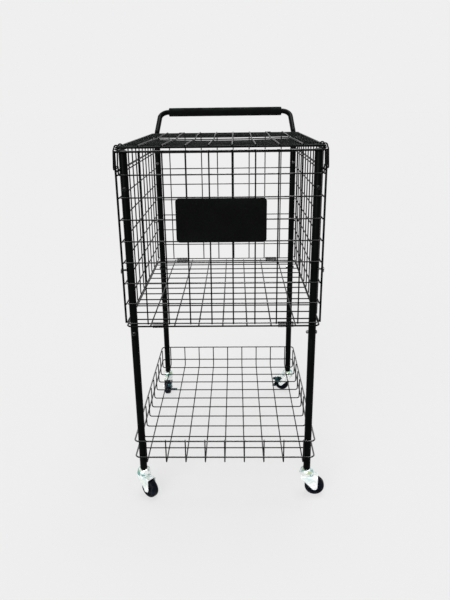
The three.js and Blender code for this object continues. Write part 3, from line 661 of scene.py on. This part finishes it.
# Lid: a bent frame and a rear bar, with cross wires under long wires
LID_CORNER = 0.007
LID_SAG = 0.0062  # a dent from use, deepest in the middle and steeper behind
LID_SAG_BOW = 1.8  # how hollow its front slope is, where 1 is straight
LID_SAG_LENGTH = 0.15  # from the lowest point back to where the lid is flat again
LID_STEPS = 48
lid_low, lid_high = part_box("lid_panel")
lid_level = lid_high.z - 2 * WIRE - THICK + WELD  # of the frame and the rear bar
lid_front, lid_rear = lid_low.y + THICK, lid_high.y - THICK
lid_half = (lid_high.x - lid_low.x) / 2 - THICK


def lid_sag(x, y):
    """How far the lid's wires have sunk at a place, from its middle in X."""
    across = max(0, 1 - (x / lid_half) ** 2)
    along = max(0, (y - lid_front) / (middle.y - lid_front))
    if along <= 1:
        return LID_SAG * across * along ** LID_SAG_BOW
    back = min(1, (y - middle.y) / LID_SAG_LENGTH)
    return LID_SAG * across * (1 - back * back * (3 - 2 * back))


def lid():
    form = Form("lid_panel", shift((middle.x, 0, lid_high.z - WIRE)))
    level = -WIRE - THICK + WELD
    line = [(-lid_half, lid_rear), (-lid_half, lid_front), (lid_half, lid_front), (lid_half, lid_rear)]
    rod(form, rounded([(x, y, level) for x, y in line], LID_CORNER), THICK)
    uprights = [Wire(at, lid_low.y, lid_high.y) for at in end_uprights]
    places = stepped(lid_front + PITCH, lid_rear - PITCH / 2, PITCH)
    rungs = [Wire(at, -lid_half, lid_half) for at in places]
    rungs.append(Wire(lid_rear, -lid_half - THICK, lid_half + THICK, THICK, True))
    wire_panel(form, uprights, rungs, LID_STEPS)
    for at in end_uprights:
        bead(form, (at, lid_front, -WIRE))
    for vert in form.verts:
        vert.z -= lid_sag(vert.x - middle.x, vert.y)
    finish(form, "wires", coat="grille_coat")


lid()

# Straps that hang the lid, and wound ties that hold the bottom panel
HINGE_THICKNESS = 0.0012
SEAM = 0.48  # how far a strap's ends come to meet on its inner side, as a share of the way
TIE_WIRE = 0.00065  # radius
TIE_TURNS = 15
WIRE_PLAY = 0.00035  # round each wire in a strap or tie


def hinge_strap(side):
    """A flat band rolled round the lid's rear bar and the rear panel's top wire."""
    form = Form(f"lid_hinge_strap_{side}")
    form.place = shift((form.centre.x, 0, 0))
    top_y = wall_y - (WIRE + THICK - WELD)
    reach = THICK + WIRE_PLAY + HINGE_THICKNESS / 2
    outline = stadium((lid_rear, lid_level), (middle.y + top_y, top_wire), reach, 12)
    loop = [Vector((0, y, z)) for y, z in outline]
    route = [loop[-1].lerp(loop[0], 1 - SEAM)] + loop + [loop[-1].lerp(loop[0], SEAM)]
    outward = (route[1] - route[0]).normalized().cross(Vector((1, 0, 0)))
    section = sheet_section(form.half.x, HINGE_THICKNESS / 2, HINGE_THICKNESS / 4)
    sweep(form, route, section, up=outward)
    finish(form, "band")


def bottom_tie(end, side, sign):
    """A wire wound round the bottom panel's frame and an end panel's lowest rung."""
    low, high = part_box("bottom_panel")
    frame_wire = (middle.y + sign * ((high.y - low.y) / 2 - RIM), high.z - 2 * WIRE - RIM + WELD)
    rung = (middle.y + sign * (wall_y - 2 * WIRE + WELD), lowest_rung)
    loop = stadium(frame_wire, rung, RIM + WIRE_PLAY + TIE_WIRE, 8)
    form = Form(f"bottom_tie_{end}_{side}")
    form.place = shift((form.centre.x, 0, 0))
    half = form.half.x - TIE_WIRE
    places = ramp(-half, half, TIE_TURNS * len(loop))
    rod(form, [(x, *loop[i % len(loop)]) for i, x in enumerate(places)], TIE_WIRE, sides=8)
    finish(form, "coil")


for side in ("left", "right"):
    hinge_strap(side)
    bottom_tie("front", side, -1)
    bottom_tie("rear", side, 1)

# Posts and legs
SPIGOT_WALL = 0.0012  # of a leg's reduced top end, which stands in the post
SPIGOT_LENGTH = 0.06
bore = TUBE - TUBE_WALL
spigot = bore - CLEARANCE
lip, seam = TUBE_LIP, SPIGOT_LENGTH
post_end = [(TUBE, lip), (TUBE - lip / 4, lip / 4), (TUBE - lip, 0), (bore + lip / 2, 0), (bore, lip / 2)]
leg_end = [(TUBE, seam + 2 * lip), (TUBE - lip, seam), (spigot, seam), (spigot, 0)]
leg_end += [(spigot - SPIGOT_WALL, drop) for drop in (0, seam + TUBE_WALL)]
leg_end.append((bore, seam + 2 * TUBE_WALL))


def tube(node, end):
    """A post or a leg with a rounded lower lip, and its upper end in pairs of radius and drop."""
    form = Form(node)
    form.place = shift((form.centre.x, form.centre.y, 0))
    low, high = form.low.z, form.high.z
    profile = [(bore, low + lip), (bore + lip, low), (TUBE - lip, low), (TUBE, low + lip)]
    lathe(form, profile + [(radius, high - drop) for radius, drop in end], closed=True)
    finish(form, "tube")


# Fasteners, drawn with the head towards +Z and the middle of what they hold at Z = 0
BOLT = 0.0025  # radius
BOLT_PITCH = 0.0006
BOLT_TAIL = 0.0012  # threaded end beyond the nut
BOLT_HEAD = 0.005  # radius
BOLT_HEAD_HEIGHT = 0.0028
BOLT_RIM = 0.0007  # straight edge of the head
BOLT_DOME = 2.6  # how square its dome is, where 2 is a parabola
BOLT_NUT = 0.0046  # from the middle to a corner
BOLT_NUT_HEIGHT = 0.004
RECESS_REACH = 0.0028  # of the crossed slots from the middle
RECESS_HALF = 0.00055  # half their width
RECESS_DEPTH = 0.0014
RECESS_WALL = 0.0004  # width of their sloping sides
RECESS_END = 0.0008  # length of their sloping ends
NUT_FACE = 0.96  # radius of a nut's flat face, where its sides are one from the middle
NUT_CHAMFER = radians(30)
THREAD_DEPTH = 0.45  # of its pitch
THREAD_CREST, THREAD_ROOT = 0.1, 0.55  # where they lie in each turn
CLAMP_PLATE = 0.0015
CLAMP_CORNER = 0.003


def pan_head(form, base):
    """A domed head with a cross recess."""
    around, rings = 72, 16
    crown = BOLT_HEAD_HEIGHT - BOLT_RIM

    def pressed(x, y):
        across = 0.5 - (min(abs(x), abs(y)) - RECESS_HALF) / RECESS_WALL
        along = 0.5 - (hypot(x, y) - RECESS_REACH) / RECESS_END
        return RECESS_DEPTH * max(0, min(1, across)) * max(0, min(1, along))

    verts = []
    for share in ramp(0, 1, rings)[1:]:
        height = base + BOLT_RIM + crown * (1 - share ** BOLT_DOME)
        verts += [(x, y, height - pressed(x, y)) for x, y in circle(BOLT_HEAD * share, around)]
    verts += [(x, y, base) for x, y in circle(BOLT_HEAD, around)]
    verts.append((0, 0, base + BOLT_HEAD_HEIGHT - RECESS_DEPTH))
    faces = joined(rings + 1, around) + flat_ends(rings + 1, around)[1:]
    faces += [[j, (j + 1) % around, len(verts) - 1] for j in range(around)]
    form.add(verts, faces)


def hex_nut(form, base, height, corner_radius):
    """A six-sided nut with both faces chamfered to a circle."""
    side_angle, around = pi / 6, 24
    flat = corner_radius * cos(side_angle)
    face = flat * NUT_FACE
    verts = []
    for level, inward in ((base, 1), (base + height, -1)):
        edge = []
        for angle in ramp(0, whole, around)[:-1]:
            reach = flat / cos((angle + side_angle) % (2 * side_angle) - side_angle)
            chamfer = (reach - face) * tan(NUT_CHAMFER)
            edge.append((reach * cos(angle), reach * sin(angle), level + inward * chamfer))
        top = [(x, y, level) for x, y in circle(face, around)]
        verts += top + edge if inward > 0 else edge + top
    form.add(verts, joined(4, around) + flat_ends(4, around))


def thread(radius, start, end, pitch):
    """The profile of a threaded end, from start to end along Z."""
    turns = max(2, round(abs(end - start) / pitch))
    step = (end - start) / turns
    root = radius - abs(step) * THREAD_DEPTH
    profile = []
    for i in range(turns):
        profile += [(radius, start + step * (i + THREAD_CREST)), (root, start + step * (i + THREAD_ROOT))]
    return profile + [(root, end), (0, end)]


def through_bolt(node, axis):
    """A bolt with its nut through a tube, with its head outwards."""
    form = Form(node)
    if form.half.x > form.half.y:
        outward = (copysign(1, axis.x - middle.x), 0, 0)
    else:
        outward = (0, copysign(1, axis.y - middle.y), 0)
    form.place = aimed((axis.x, axis.y, form.centre.z), outward)
    half = TUBE + CLEARANCE
    nut_end = -half - BOLT_NUT_HEIGHT
    tail = thread(BOLT, nut_end, nut_end - BOLT_TAIL, BOLT_PITCH)
    pan_head(form, half)
    lathe(form, [(0, half), (BOLT, half)] + tail, sides=24)
    hex_nut(form, nut_end, BOLT_NUT_HEIGHT, BOLT_NUT)
    finish(form, "set", "bolt_black")


def side_clamp(node, axis):
    """A plate along a side panel's edge, with a screw through it into the post."""
    form = Form(node)
    low, high, half, level = form.low, form.high, form.half.z, form.centre.z
    outward = copysign(1, axis.x - middle.x)
    face = max(abs(low.x - axis.x), abs(high.x - axis.x)) - BOLT_HEAD_HEIGHT
    form.place = aimed((axis.x, axis.y, level), (outward, 0, 0))
    pan_head(form, face)
    lathe(form, [(0, face), (BOLT, face), (BOLT, 0), (0, 0)], sides=24)
    form.place = shift((axis.x, 0, level)) @ spin(-outward * quarter, "Z")
    start, end = sorted((-outward * low.y, -outward * high.y))
    outline = round_rectangle((start, -half), (end, half), CLAMP_CORNER, 5)
    slab(form, outline, face - CLAMP_PLATE, face)
    finish(form, "plate", "bolt_black", bevel=SHEARED)


corners = [f"{end}_{side}" for end in ("front", "rear") for side in ("left", "right")]
for corner in corners:
    tube(f"post_{corner}", post_end)
    tube(f"leg_{corner}", leg_end)
    for kind in ("post_bolt", "leg_bolt"):
        through_bolt(f"{kind}_{corner}", axis_of(corner))
    side_clamp(f"side_clamp_{corner}", axis_of(corner))

# Push handle and its foam sleeve
HANDLE = 0.0075  # outer radius
HANDLE_BEND = 0.027
HANDLE_BEND_RISE = 0.007  # corner of the lower bend above the top wires
HANDLE_NARROWING = 0.007  # of each side towards the grip
GRIP_SKIN = 0.0002  # how far the foam's surface dips
GRIP_WAVES = 61, 23  # two ripples of its dips, in radians over its length
GRIP_STEPS = 90
GRIP_ROUND = 0.0028
grip = Form("handle_grip")
grip.place = aimed(grip.centre, (1, 0, 0))


def handle():
    form = Form("handle_tube")
    rear, spread = rear_post.y, rear_post.x - middle.x

    def side(x):
        inner = x - copysign(HANDLE_NARROWING, x)
        foot, bend = ((middle.x + x, rear, z) for z in (form.low.z, top_wire + HANDLE_BEND_RISE))
        return [foot, bend, (middle.x + inner, grip.centre.y, grip.centre.z)]

    route = rounded(side(-spread) + side(spread)[::-1], HANDLE_BEND, 16)
    rod(form, route, HANDLE, TUBE_SIDES, TUBE_LIP)
    finish(form, "bend")


def handle_grip():
    half, radius = grip.half.x, grip.half.z
    inner, lip = HANDLE + CLEARANCE, GRIP_ROUND / 2
    corner = arc((radius - GRIP_ROUND, GRIP_ROUND - half), GRIP_ROUND, -quarter, 0, 6)[1:]
    profile = [(inner, lip - half), (inner + lip, -half), (radius - GRIP_ROUND, -half)] + corner
    for share in ramp(0, 1, GRIP_STEPS)[1:-1]:
        ripple = sin(share * GRIP_WAVES[0]) * sin(share * GRIP_WAVES[1] + 1)
        dip = GRIP_SKIN * (0.5 + 0.5 * ripple)
        profile.append((radius - dip, (2 * share - 1) * (half - GRIP_ROUND)))
    profile += [(r, -z) for r, z in corner[::-1]]
    profile += [(radius - GRIP_ROUND, half), (inner + lip, half), (inner, half - lip)]
    lathe(grip, profile, sides=64, closed=True)
    made = finish(grip, "sleeve", "grip_foam")


handle()
handle_grip()

# Sign plate: bare moulded plate with fingers behind that straddle two uprights
SIGN_THICKNESS = 0.003
SIGN_CORNER = 0.008
SIGN_ROUNDING = 0.0007  # of its edges
FINGER_WIDTH = 0.0015
FINGER_HEIGHT = 0.012
FINGER_UPRIGHT = 5  # the upright that it holds, counted from the left end
FINGER_RUNG = 2  # the rung in the middle of its fingers, counted down


def sign_plate():
    form = Form("sign_plate")
    low, high = form.low, form.high
    outline = round_rectangle((low.x, low.z), (high.x, high.z), SIGN_CORNER, 10)
    slab(form, outline, low.y, low.y + SIGN_THICKNESS)
    gap = WIRE + CLEARANCE
    held = end_uprights[FINGER_UPRIGHT]
    for upright in (-held, held):
        for start in (upright - gap - FINGER_WIDTH, upright + gap):
            for rise in (-PITCH / 2, PITCH / 2):
                x, z = middle.x + start, rung_levels[FINGER_RUNG] + rise - FINGER_HEIGHT / 2
                right, top = x + FINGER_WIDTH, z + FINGER_HEIGHT
                finger = [(x, z), (right, z), (right, top), (x, top)]
                slab(form, finger, low.y + SIGN_THICKNESS / 2, high.y)
    finish(form, "moulding", "sign_plastic", bevel=SIGN_ROUNDING)


sign_plate()

# Latch bails and hooks, drawn for the right side: X out from the lid's side bar
BAIL_BEND = 0.005
BAIL_EYE = 0.004574  # radius of the eye round the lid's side bar, in the wire's middle
BAIL_SHOULDER = 0.007  # how far out the bail stands at the height of the top wires
BAIL_FOOT = 0.009  # how far out it stands at its lower end
EYE_TURN = radians(318)
HOOK_THICKNESS = 0.0015
HOOK_INSIDE = 0.0006  # radius inside its bend


def latch_bail(side, sign, turn):
    """A wire with an eye at each end that turns on the lid's side bar."""
    form = Form(f"latch_bail_{side}")
    form.place = shift((middle.x + sign * lid_half, form.centre.y, lid_level)) @ turn
    shoulder, foot = front_high.z - lid_level, form.low.z + WIRE - lid_level

    def limb(y):
        return [(BAIL_EYE, y, 0), (BAIL_SHOULDER, y, shoulder), (BAIL_FOOT, y, foot)]

    def eye(y):
        turns = arc((0, 0), BAIL_EYE, 0, EYE_TURN, 26)
        return [(x, y, z) for x, z in turns[:0:-1]]

    half = form.half.y - WIRE
    bends = rounded(limb(-half) + limb(half)[::-1], BAIL_BEND)
    rod(form, eye(-half) + bends + eye(half)[::-1], WIRE)
    finish(form, "wire", coat="grille_coat")


def latch_hook(side, sign, turn):
    """A strip of sheet metal, bent outwards at its top to catch the bail."""
    form = Form(f"latch_hook_{side}")
    low, high, half = form.low, form.high, form.half.y
    near = min(abs(low.x - middle.x), abs(high.x - middle.x))
    form.place = shift((middle.x + sign * near, form.centre.y, 0)) @ turn
    under, reach = high.z - HOOK_THICKNESS, high.x - low.x
    outer = HOOK_THICKNESS + HOOK_INSIDE
    outline = [(0, low.z), (HOOK_THICKNESS, low.z)]
    outline += arc((outer, under - HOOK_INSIDE), HOOK_INSIDE, pi, quarter, 5)
    outline += [(reach, under), (reach, high.z)]
    outline += arc((outer, high.z - outer), outer, quarter, pi, 6)
    slab(form, outline, -half, half)
    finish(form, "strip", bevel=SHEARED)


for side, sign, turn in (("right", 1, 0), ("left", -1, pi)):
    latch_bail(side, sign, spin(turn, "Z"))
    latch_hook(side, sign, spin(turn, "Z"))

# Casters, drawn with the swivel axis on Z and the wheel trailing along X
EASE = 0.0004  # rounding of turned edges
TRAIL = 0.021  # from the swivel axis to the axle
WHEEL = 0.025  # radius
WHEEL_HALF = 0.01  # half its width
WHEEL_HUB = 0.008
WHEEL_RIM = 0.0185  # where its side meets the crowned tread
WHEEL_BORE = 0.0033
WHEEL_ROUND = 0.0066  # how far the crown comes in from each side
WHEEL_FILLET = 0.001  # roundings between hub, web and rim
WEB_DEPTH = 0.003  # of the web behind the rim's side
PARTING = 0.0006  # half the width of the mould's parting line
PARTING_DEPTH = 0.00015
FORK_GAP = 0.023  # between the cheeks
CHEEK = 0.0018  # thickness of the fork's sheet
FORK_TOP = 0.0555
FORK_PLATE = 0.0025  # thickness of the fork's top
FORK_HEEL = 0.014  # how far its top reaches back
FORK_HEEL_HEIGHT = 0.005
FORK_TOE = 0.029  # how far its top reaches forwards
FORK_BOSS = 0.0075  # radius of a cheek's lower end, round the axle
FORK_BEND = 0.0035
FORK_COLUMNS = 14  # steps across a cheek, and up it above the axle
BOSS_STEPS = 10
RACE = 0.016
RACE_FOOT = 0.003  # how far the race's foot stands in
RACE_TOP = 0.059
CAP = 0.018
CAP_BRIM = 0.003  # height of its brim
CAP_SHOULDER = 0.015
CAP_DROP = 0.0022  # of its shoulder below its top
CAP_SEAT = 0.0025  # width of its flat top round the leg
KING_PIN = 0.004
RIVET = 0.007  # radius of the king pin's head
RIVET_HEIGHT = 0.0024
STEM_LENGTH = 0.04
LEG_FOOT = 0.076  # lower end of the legs
AXLE = 0.003
AXLE_PITCH = 0.0007
AXLE_HEAD = 0.0054  # from the middle to a corner
AXLE_HEAD_HEIGHT = 0.003
LEVER_PIVOT = Vector((0.022, 0.046))
LEVER_PIN = 0.002
LEVER_HEAD = 0.0036
LEVER_HEAD_RIM = 0.0005  # straight edge of the pin's head
LEVER_HEAD_SLOPE = 0.0009
LEVER_THICKNESS = 0.0015
LEVER_ARM = 0.005
LEVER_ROUNDING = 0.0002
SHOE_ANGLE = radians(35)  # of the shoe over the tread, from the axle
SHOE_GAP = 0.003
SHOE_WIDTH = 0.012
SHOE_LENGTH = 0.011
TAB = Vector((0.038, 0.024))
TAB_REACH = 0.02
TAB_WIDTH = 0.014
TAB_RIBS = 3
TAB_RIB = 0.0006  # height of its pressed ribs


def swivel_place(corner):
    """The swivel axis of a caster, turned the way that its wheel trails."""
    axis = axis_of(corner)
    hub = centre_of(f"caster_wheel_{corner}")
    return shift(axis) @ spin(atan2(hub.y - axis.y, hub.x - axis.x), "Z")


def axle_place(place):
    """The axle of a caster, with Z along it."""
    return place @ shift((TRAIL, 0, WHEEL)) @ spin(quarter, "X")


def caster_stem(corner):
    """One turning from the rivet up through the race, with the domed cap and the stem in the leg."""
    base, top = RACE_TOP + CLEARANCE, LEG_FOOT - CLEARANCE
    rivet_top = FORK_TOP - FORK_PLATE - CLEARANCE
    rivet_foot = rivet_top - RIVET_HEIGHT
    stem, stem_top = bore - CLEARANCE, LEG_FOOT + STEM_LENGTH
    brim, shoulder = base + CAP_BRIM, top - CAP_DROP
    profile = [(0, rivet_foot), (RIVET * 0.6, rivet_foot), (RIVET * 0.9, rivet_foot + RIVET_HEIGHT * 0.3)]
    profile += [(RIVET, rivet_top), (KING_PIN, rivet_top), (KING_PIN, base), (RACE, base)]
    profile += [(RACE + 3 * EASE, base + EASE), (CAP, brim - 1.5 * EASE), (CAP, brim + EASE)]
    low = Vector((CAP - 2 * EASE, brim + 2.5 * EASE))
    high = Vector((CAP_SHOULDER + 1.5 * EASE, shoulder - 3.5 * EASE))
    for share in ramp(0, 1, 4)[:-1]:
        radius, height = low.lerp(high, share)
        profile.append((radius + 1.5 * EASE * sin(share * pi), height))
    profile += [(CAP_SHOULDER + EASE, shoulder - 2.5 * EASE), (CAP_SHOULDER - 2.25 * EASE, shoulder + EASE)]
    profile += [(TUBE + CAP_SEAT, top - 2 * EASE), (TUBE + 2 * EASE, top), (stem, top)]
    form = Form(f"caster_stem_{corner}", shift(axis_of(corner)))
    lathe(form, profile + [(stem, stem_top), (0, stem_top)], sides=56)
    finish(form, "turning", "zinc", "film_zinc")


def cheek_span(level):
    """How far a cheek reaches back and forwards at a height."""
    heel_level = FORK_TOP - FORK_HEEL_HEIGHT
    slope = atan2(WHEEL - heel_level, TRAIL + FORK_HEEL)
    touch_x = TRAIL + FORK_BOSS * cos(slope - quarter)
    touch_z = WHEEL + FORK_BOSS * sin(slope - quarter)
    under = sqrt(max(0, FORK_BOSS ** 2 - (level - WHEEL) ** 2))
    back, front = TRAIL - under, TRAIL + under
    if level >= touch_z:
        share = min(1, (level - touch_z) / (heel_level - touch_z))
        back = touch_x - (FORK_HEEL + touch_x) * share
    if level >= WHEEL:
        share = (level - WHEEL) / (FORK_TOP - WHEEL)
        front = TRAIL + FORK_BOSS + (FORK_TOE - TRAIL - FORK_BOSS) * share
    return back, front


def fork_sheet(form):
    """One sheet bent down at both sides, as rows of points on its outer and its inner skin."""
    outer, bend_top = FORK_GAP / 2 + CHEEK, FORK_TOP - FORK_BEND
    turns = [quarter * max(0.5, i) / BOSS_STEPS for i in range(BOSS_STEPS + 1)]
    levels = [WHEEL - FORK_BOSS * cos(turn) for turn in turns]
    levels += ramp(WHEEL, bend_top, FORK_COLUMNS)[1:]
    path = [(outer, z, -1, 0) for z in levels]
    centre = (outer - FORK_BEND, bend_top)
    for y, z in arc(centre, FORK_BEND, 0, quarter, 8)[1:]:
        path.append((y, z, (centre[0] - y) / FORK_BEND, (centre[1] - z) / FORK_BEND))
    path += [(-y, z, -inward_y, inward_z) for y, z, inward_y, inward_z in path[::-1]]
    verts, faces = [], []
    for skin in (0, CHEEK):
        for y, z, inward_y, inward_z in path:
            for x in ramp(*cheek_span(z), FORK_COLUMNS):
                verts.append((x, y + inward_y * skin, z + inward_z * skin))
    wide = FORK_COLUMNS + 1
    inside = wide * len(path)
    for row in range(0, inside - wide, wide):
        for i in range(row, row + FORK_COLUMNS):
            face = [i, i + 1, i + wide + 1, i + wide]
            faces += [face, [inside + k for k in face]]
        for i in (row, row + FORK_COLUMNS):
            faces.append([i, i + wide, inside + i + wide, inside + i])
    for i in (*range(FORK_COLUMNS), *range(inside - wide, inside - 1)):
        faces.append([i, i + 1, inside + i + 1, inside + i])
    form.add(verts, faces)


def fork(corner, place):
    """A stamped fork with a raised race on top."""
    form = Form(f"caster_fork_{corner}", place)
    fork_sheet(form)
    hole, under = KING_PIN + CLEARANCE, FORK_TOP - FORK_PLATE
    profile = [(hole, under), (RACE - RACE_FOOT, under), (RACE - RACE_FOOT, FORK_TOP - EASE / 2)]
    profile += [(RACE - 3 * EASE, FORK_TOP + EASE), (RACE, FORK_TOP + 3.5 * EASE)]
    profile += [(RACE, RACE_TOP - 2 * EASE), (RACE - 2 * EASE, RACE_TOP)]
    profile += [(hole + EASE, RACE_TOP), (hole, RACE_TOP - EASE)]
    lathe(form, profile, sides=56, closed=True)
    finish(form, "stamping", "zinc")


def wheel(corner, place):
    """A moulded wheel with a hub, a sunken web on both sides and a crowned tread."""
    form = Form(f"caster_wheel_{corner}", axle_place(place))
    hub, web, fillet = FORK_GAP / 2 - CLEARANCE, WHEEL_HALF - WEB_DEPTH, WHEEL_FILLET
    side = [(WHEEL_BORE, hub), (WHEEL_HUB - 2 * EASE, hub), (WHEEL_HUB, hub - 2 * EASE)]
    side += [(WHEEL_HUB, web + fillet / 2), (WHEEL_HUB + fillet, web), (WHEEL_RIM - 2.5 * fillet, web)]
    for out, up in ((-1, -0.6), (-0.4, -0.1), (0.6, 0)):
        side.append((WHEEL_RIM + out * fillet, WHEEL_HALF + up * fillet))
    steep = WHEEL - WHEEL_RIM - 0.6 * fillet
    for turn in ramp(quarter, 0, 10)[1:]:
        radius = WHEEL - steep * (1 - cos(turn))
        side.append((radius, WHEEL_HALF - WHEEL_ROUND * (1 - sin(turn))))
    side.append((WHEEL, PARTING))
    profile = side + [(WHEEL - PARTING_DEPTH, 0)] + [(radius, -y) for radius, y in side[::-1]]
    lathe(form, profile, sides=72, closed=True)
    finish(form, "moulding", "wheel_tread")


def axle(corner, place):
    """A bolt through the fork and the wheel, with a six-sided head and a nut."""
    form = Form(f"caster_axle_{corner}", axle_place(place))
    half = FORK_GAP / 2 + CHEEK + CLEARANCE
    end = half + AXLE_HEAD_HEIGHT
    for base in (half, EASE - end):
        hex_nut(form, base, AXLE_HEAD_HEIGHT - EASE, AXLE_HEAD)
    profile = [(0, -end), (AXLE - EASE, -end), (AXLE, EASE - end)]
    lathe(form, profile + thread(AXLE, half, end, AXLE_PITCH), sides=28)
    finish(form, "bolt", "zinc")


def brake_lever(corner, place):
    """A lever beside the fork, with a shoe over the tread, a ribbed foot tab and its pivot pin."""
    form = Form(f"brake_lever_{corner}", place)
    inner = FORK_GAP / 2 + CHEEK + CLEARANCE
    outer = inner + LEVER_THICKNESS
    reach = WHEEL + SHOE_GAP + LEVER_THICKNESS / 2
    shoe = Vector((TRAIL + reach * cos(SHOE_ANGLE), WHEEL + reach * sin(SHOE_ANGLE)))
    for end in (shoe, TAB):
        slab(form, stadium(LEVER_PIVOT, end, LEVER_ARM), inner, outer)
    line = [(shoe.x, outer - SHOE_WIDTH, shoe.y), (shoe.x, outer, shoe.y)]
    along = Vector((-sin(SHOE_ANGLE), 0, cos(SHOE_ANGLE)))
    strip(form, line, SHOE_LENGTH, LEVER_THICKNESS, along)
    level = TAB.y - LEVER_THICKNESS / 2 - TAB_RIB
    tab = []
    for share in ramp(0, 1, 24):
        rise = TAB_RIB * sin(TAB_RIBS * pi * share) ** 2
        tab.append((TAB.x, inner + TAB_REACH * share, level + rise))
    strip(form, tab, TAB_WIDTH, LEVER_THICKNESS, (1, 0, 0))
    upright = shift((LEVER_PIVOT.x, 0, LEVER_PIVOT.y)) @ spin(-quarter, "X")
    foot, top = inner - CHEEK, outer + LEVER_THICKNESS
    pin = [(0, foot), (LEVER_PIN, foot), (LEVER_PIN, outer), (LEVER_HEAD, outer)]
    pin += [(LEVER_HEAD, outer + LEVER_HEAD_RIM), (LEVER_HEAD - LEVER_HEAD_SLOPE, top - EASE / 2), (0, top)]
    lathe(form, pin, upright, sides=28)
    finish(form, "stamping", "zinc", "blue_zinc", LEVER_ROUNDING)


for corner in corners:
    place = swivel_place(corner)
    caster_stem(corner)
    fork(corner, place)
    wheel(corner, place)
    axle(corner, place)
    if corner.startswith("rear"):
        brake_lever(corner, place)

# Camera, fitted to the wire crossings in the photograph
IMAGE_HEIGHT = 600
FOCAL_PIXELS = 576.68
SENSOR = 36  # millimetres along the image's height
CAMERA_PLACE = (0.02046, -1.58819, 0.96763)
PITCH_DOWN, YAW, ROLL = 0.32792, -0.02106, -0.01304  # radians


def add_camera():
    camera = linked("camera", bpy.data.cameras.new("camera"))
    camera.data.sensor_width = SENSOR
    camera.data.lens = SENSOR * FOCAL_PIXELS / IMAGE_HEIGHT
    turn = spin(-YAW, "Z") @ spin(quarter - PITCH_DOWN, "X") @ spin(ROLL, "Z")
    camera.matrix_world = shift(CAMERA_PLACE) @ turn
    bpy.context.scene.camera = camera


# Pale floor, soft lamps and a pale world
PALE = (0.863, 0.863, 0.863)
WHITE = (1, 1, 1)
FLOOR_COLOUR = (0.82, 0.82, 0.82)
FLOOR_SHOWN_SHARE = 0.75  # of the background's own colour in the floor, which softens shadows
FLOOR_HALF = 60
SKY_STRENGTH = 0.34
KEY = {"strength": 1.3, "spread": 30, "tilt": 12, "turn": 160}  # angles in degrees
FILL = {"strength": 2.0, "spread": 50, "tilt": 62, "turn": -22}


def add_floor():
    mesh = bpy.data.meshes.new("floor")
    corner_signs = ((-1, -1), (1, -1), (1, 1), (-1, 1))
    mesh.from_pydata([(x * FLOOR_HALF, y * FLOOR_HALF, 0) for x, y in corner_signs], [], [(0, 1, 2, 3)])
    shader = Shader("pale floor")
    shader.set(Base_Color=FLOOR_COLOUR, Roughness=1, Specular_IOR_Level=0)
    shader.show(shader.times(shader.seen(), FLOOR_SHOWN_SHARE), "ShaderNodeEmission")
    mesh.materials.append(shader.owner)
    floor = linked("floor", mesh)


def add_lamp(name, lamp):
    data = bpy.data.lights.new(name, "SUN")
    data.energy = lamp["strength"]
    data.angle = radians(lamp["spread"])
    turn, tilt = radians(lamp["turn"]), radians(lamp["tilt"])
    linked(name, data).matrix_world = spin(turn, "Z") @ spin(tilt, "X")


def add_world():
    """White light from all around, behind which the camera sees the pale background."""
    shader = Shader("studio", stock=bpy.data.worlds)
    shader.set(Color=WHITE, Strength=SKY_STRENGTH)
    shader.show(shader.seen(), "ShaderNodeBackground")
    bpy.context.scene.world = shader.owner


add_camera()
add_floor()
add_lamp("key lamp", KEY)
add_lamp("fill lamp", FILL)
add_world()
bpy.context.scene.view_settings.view_transform = "Standard"
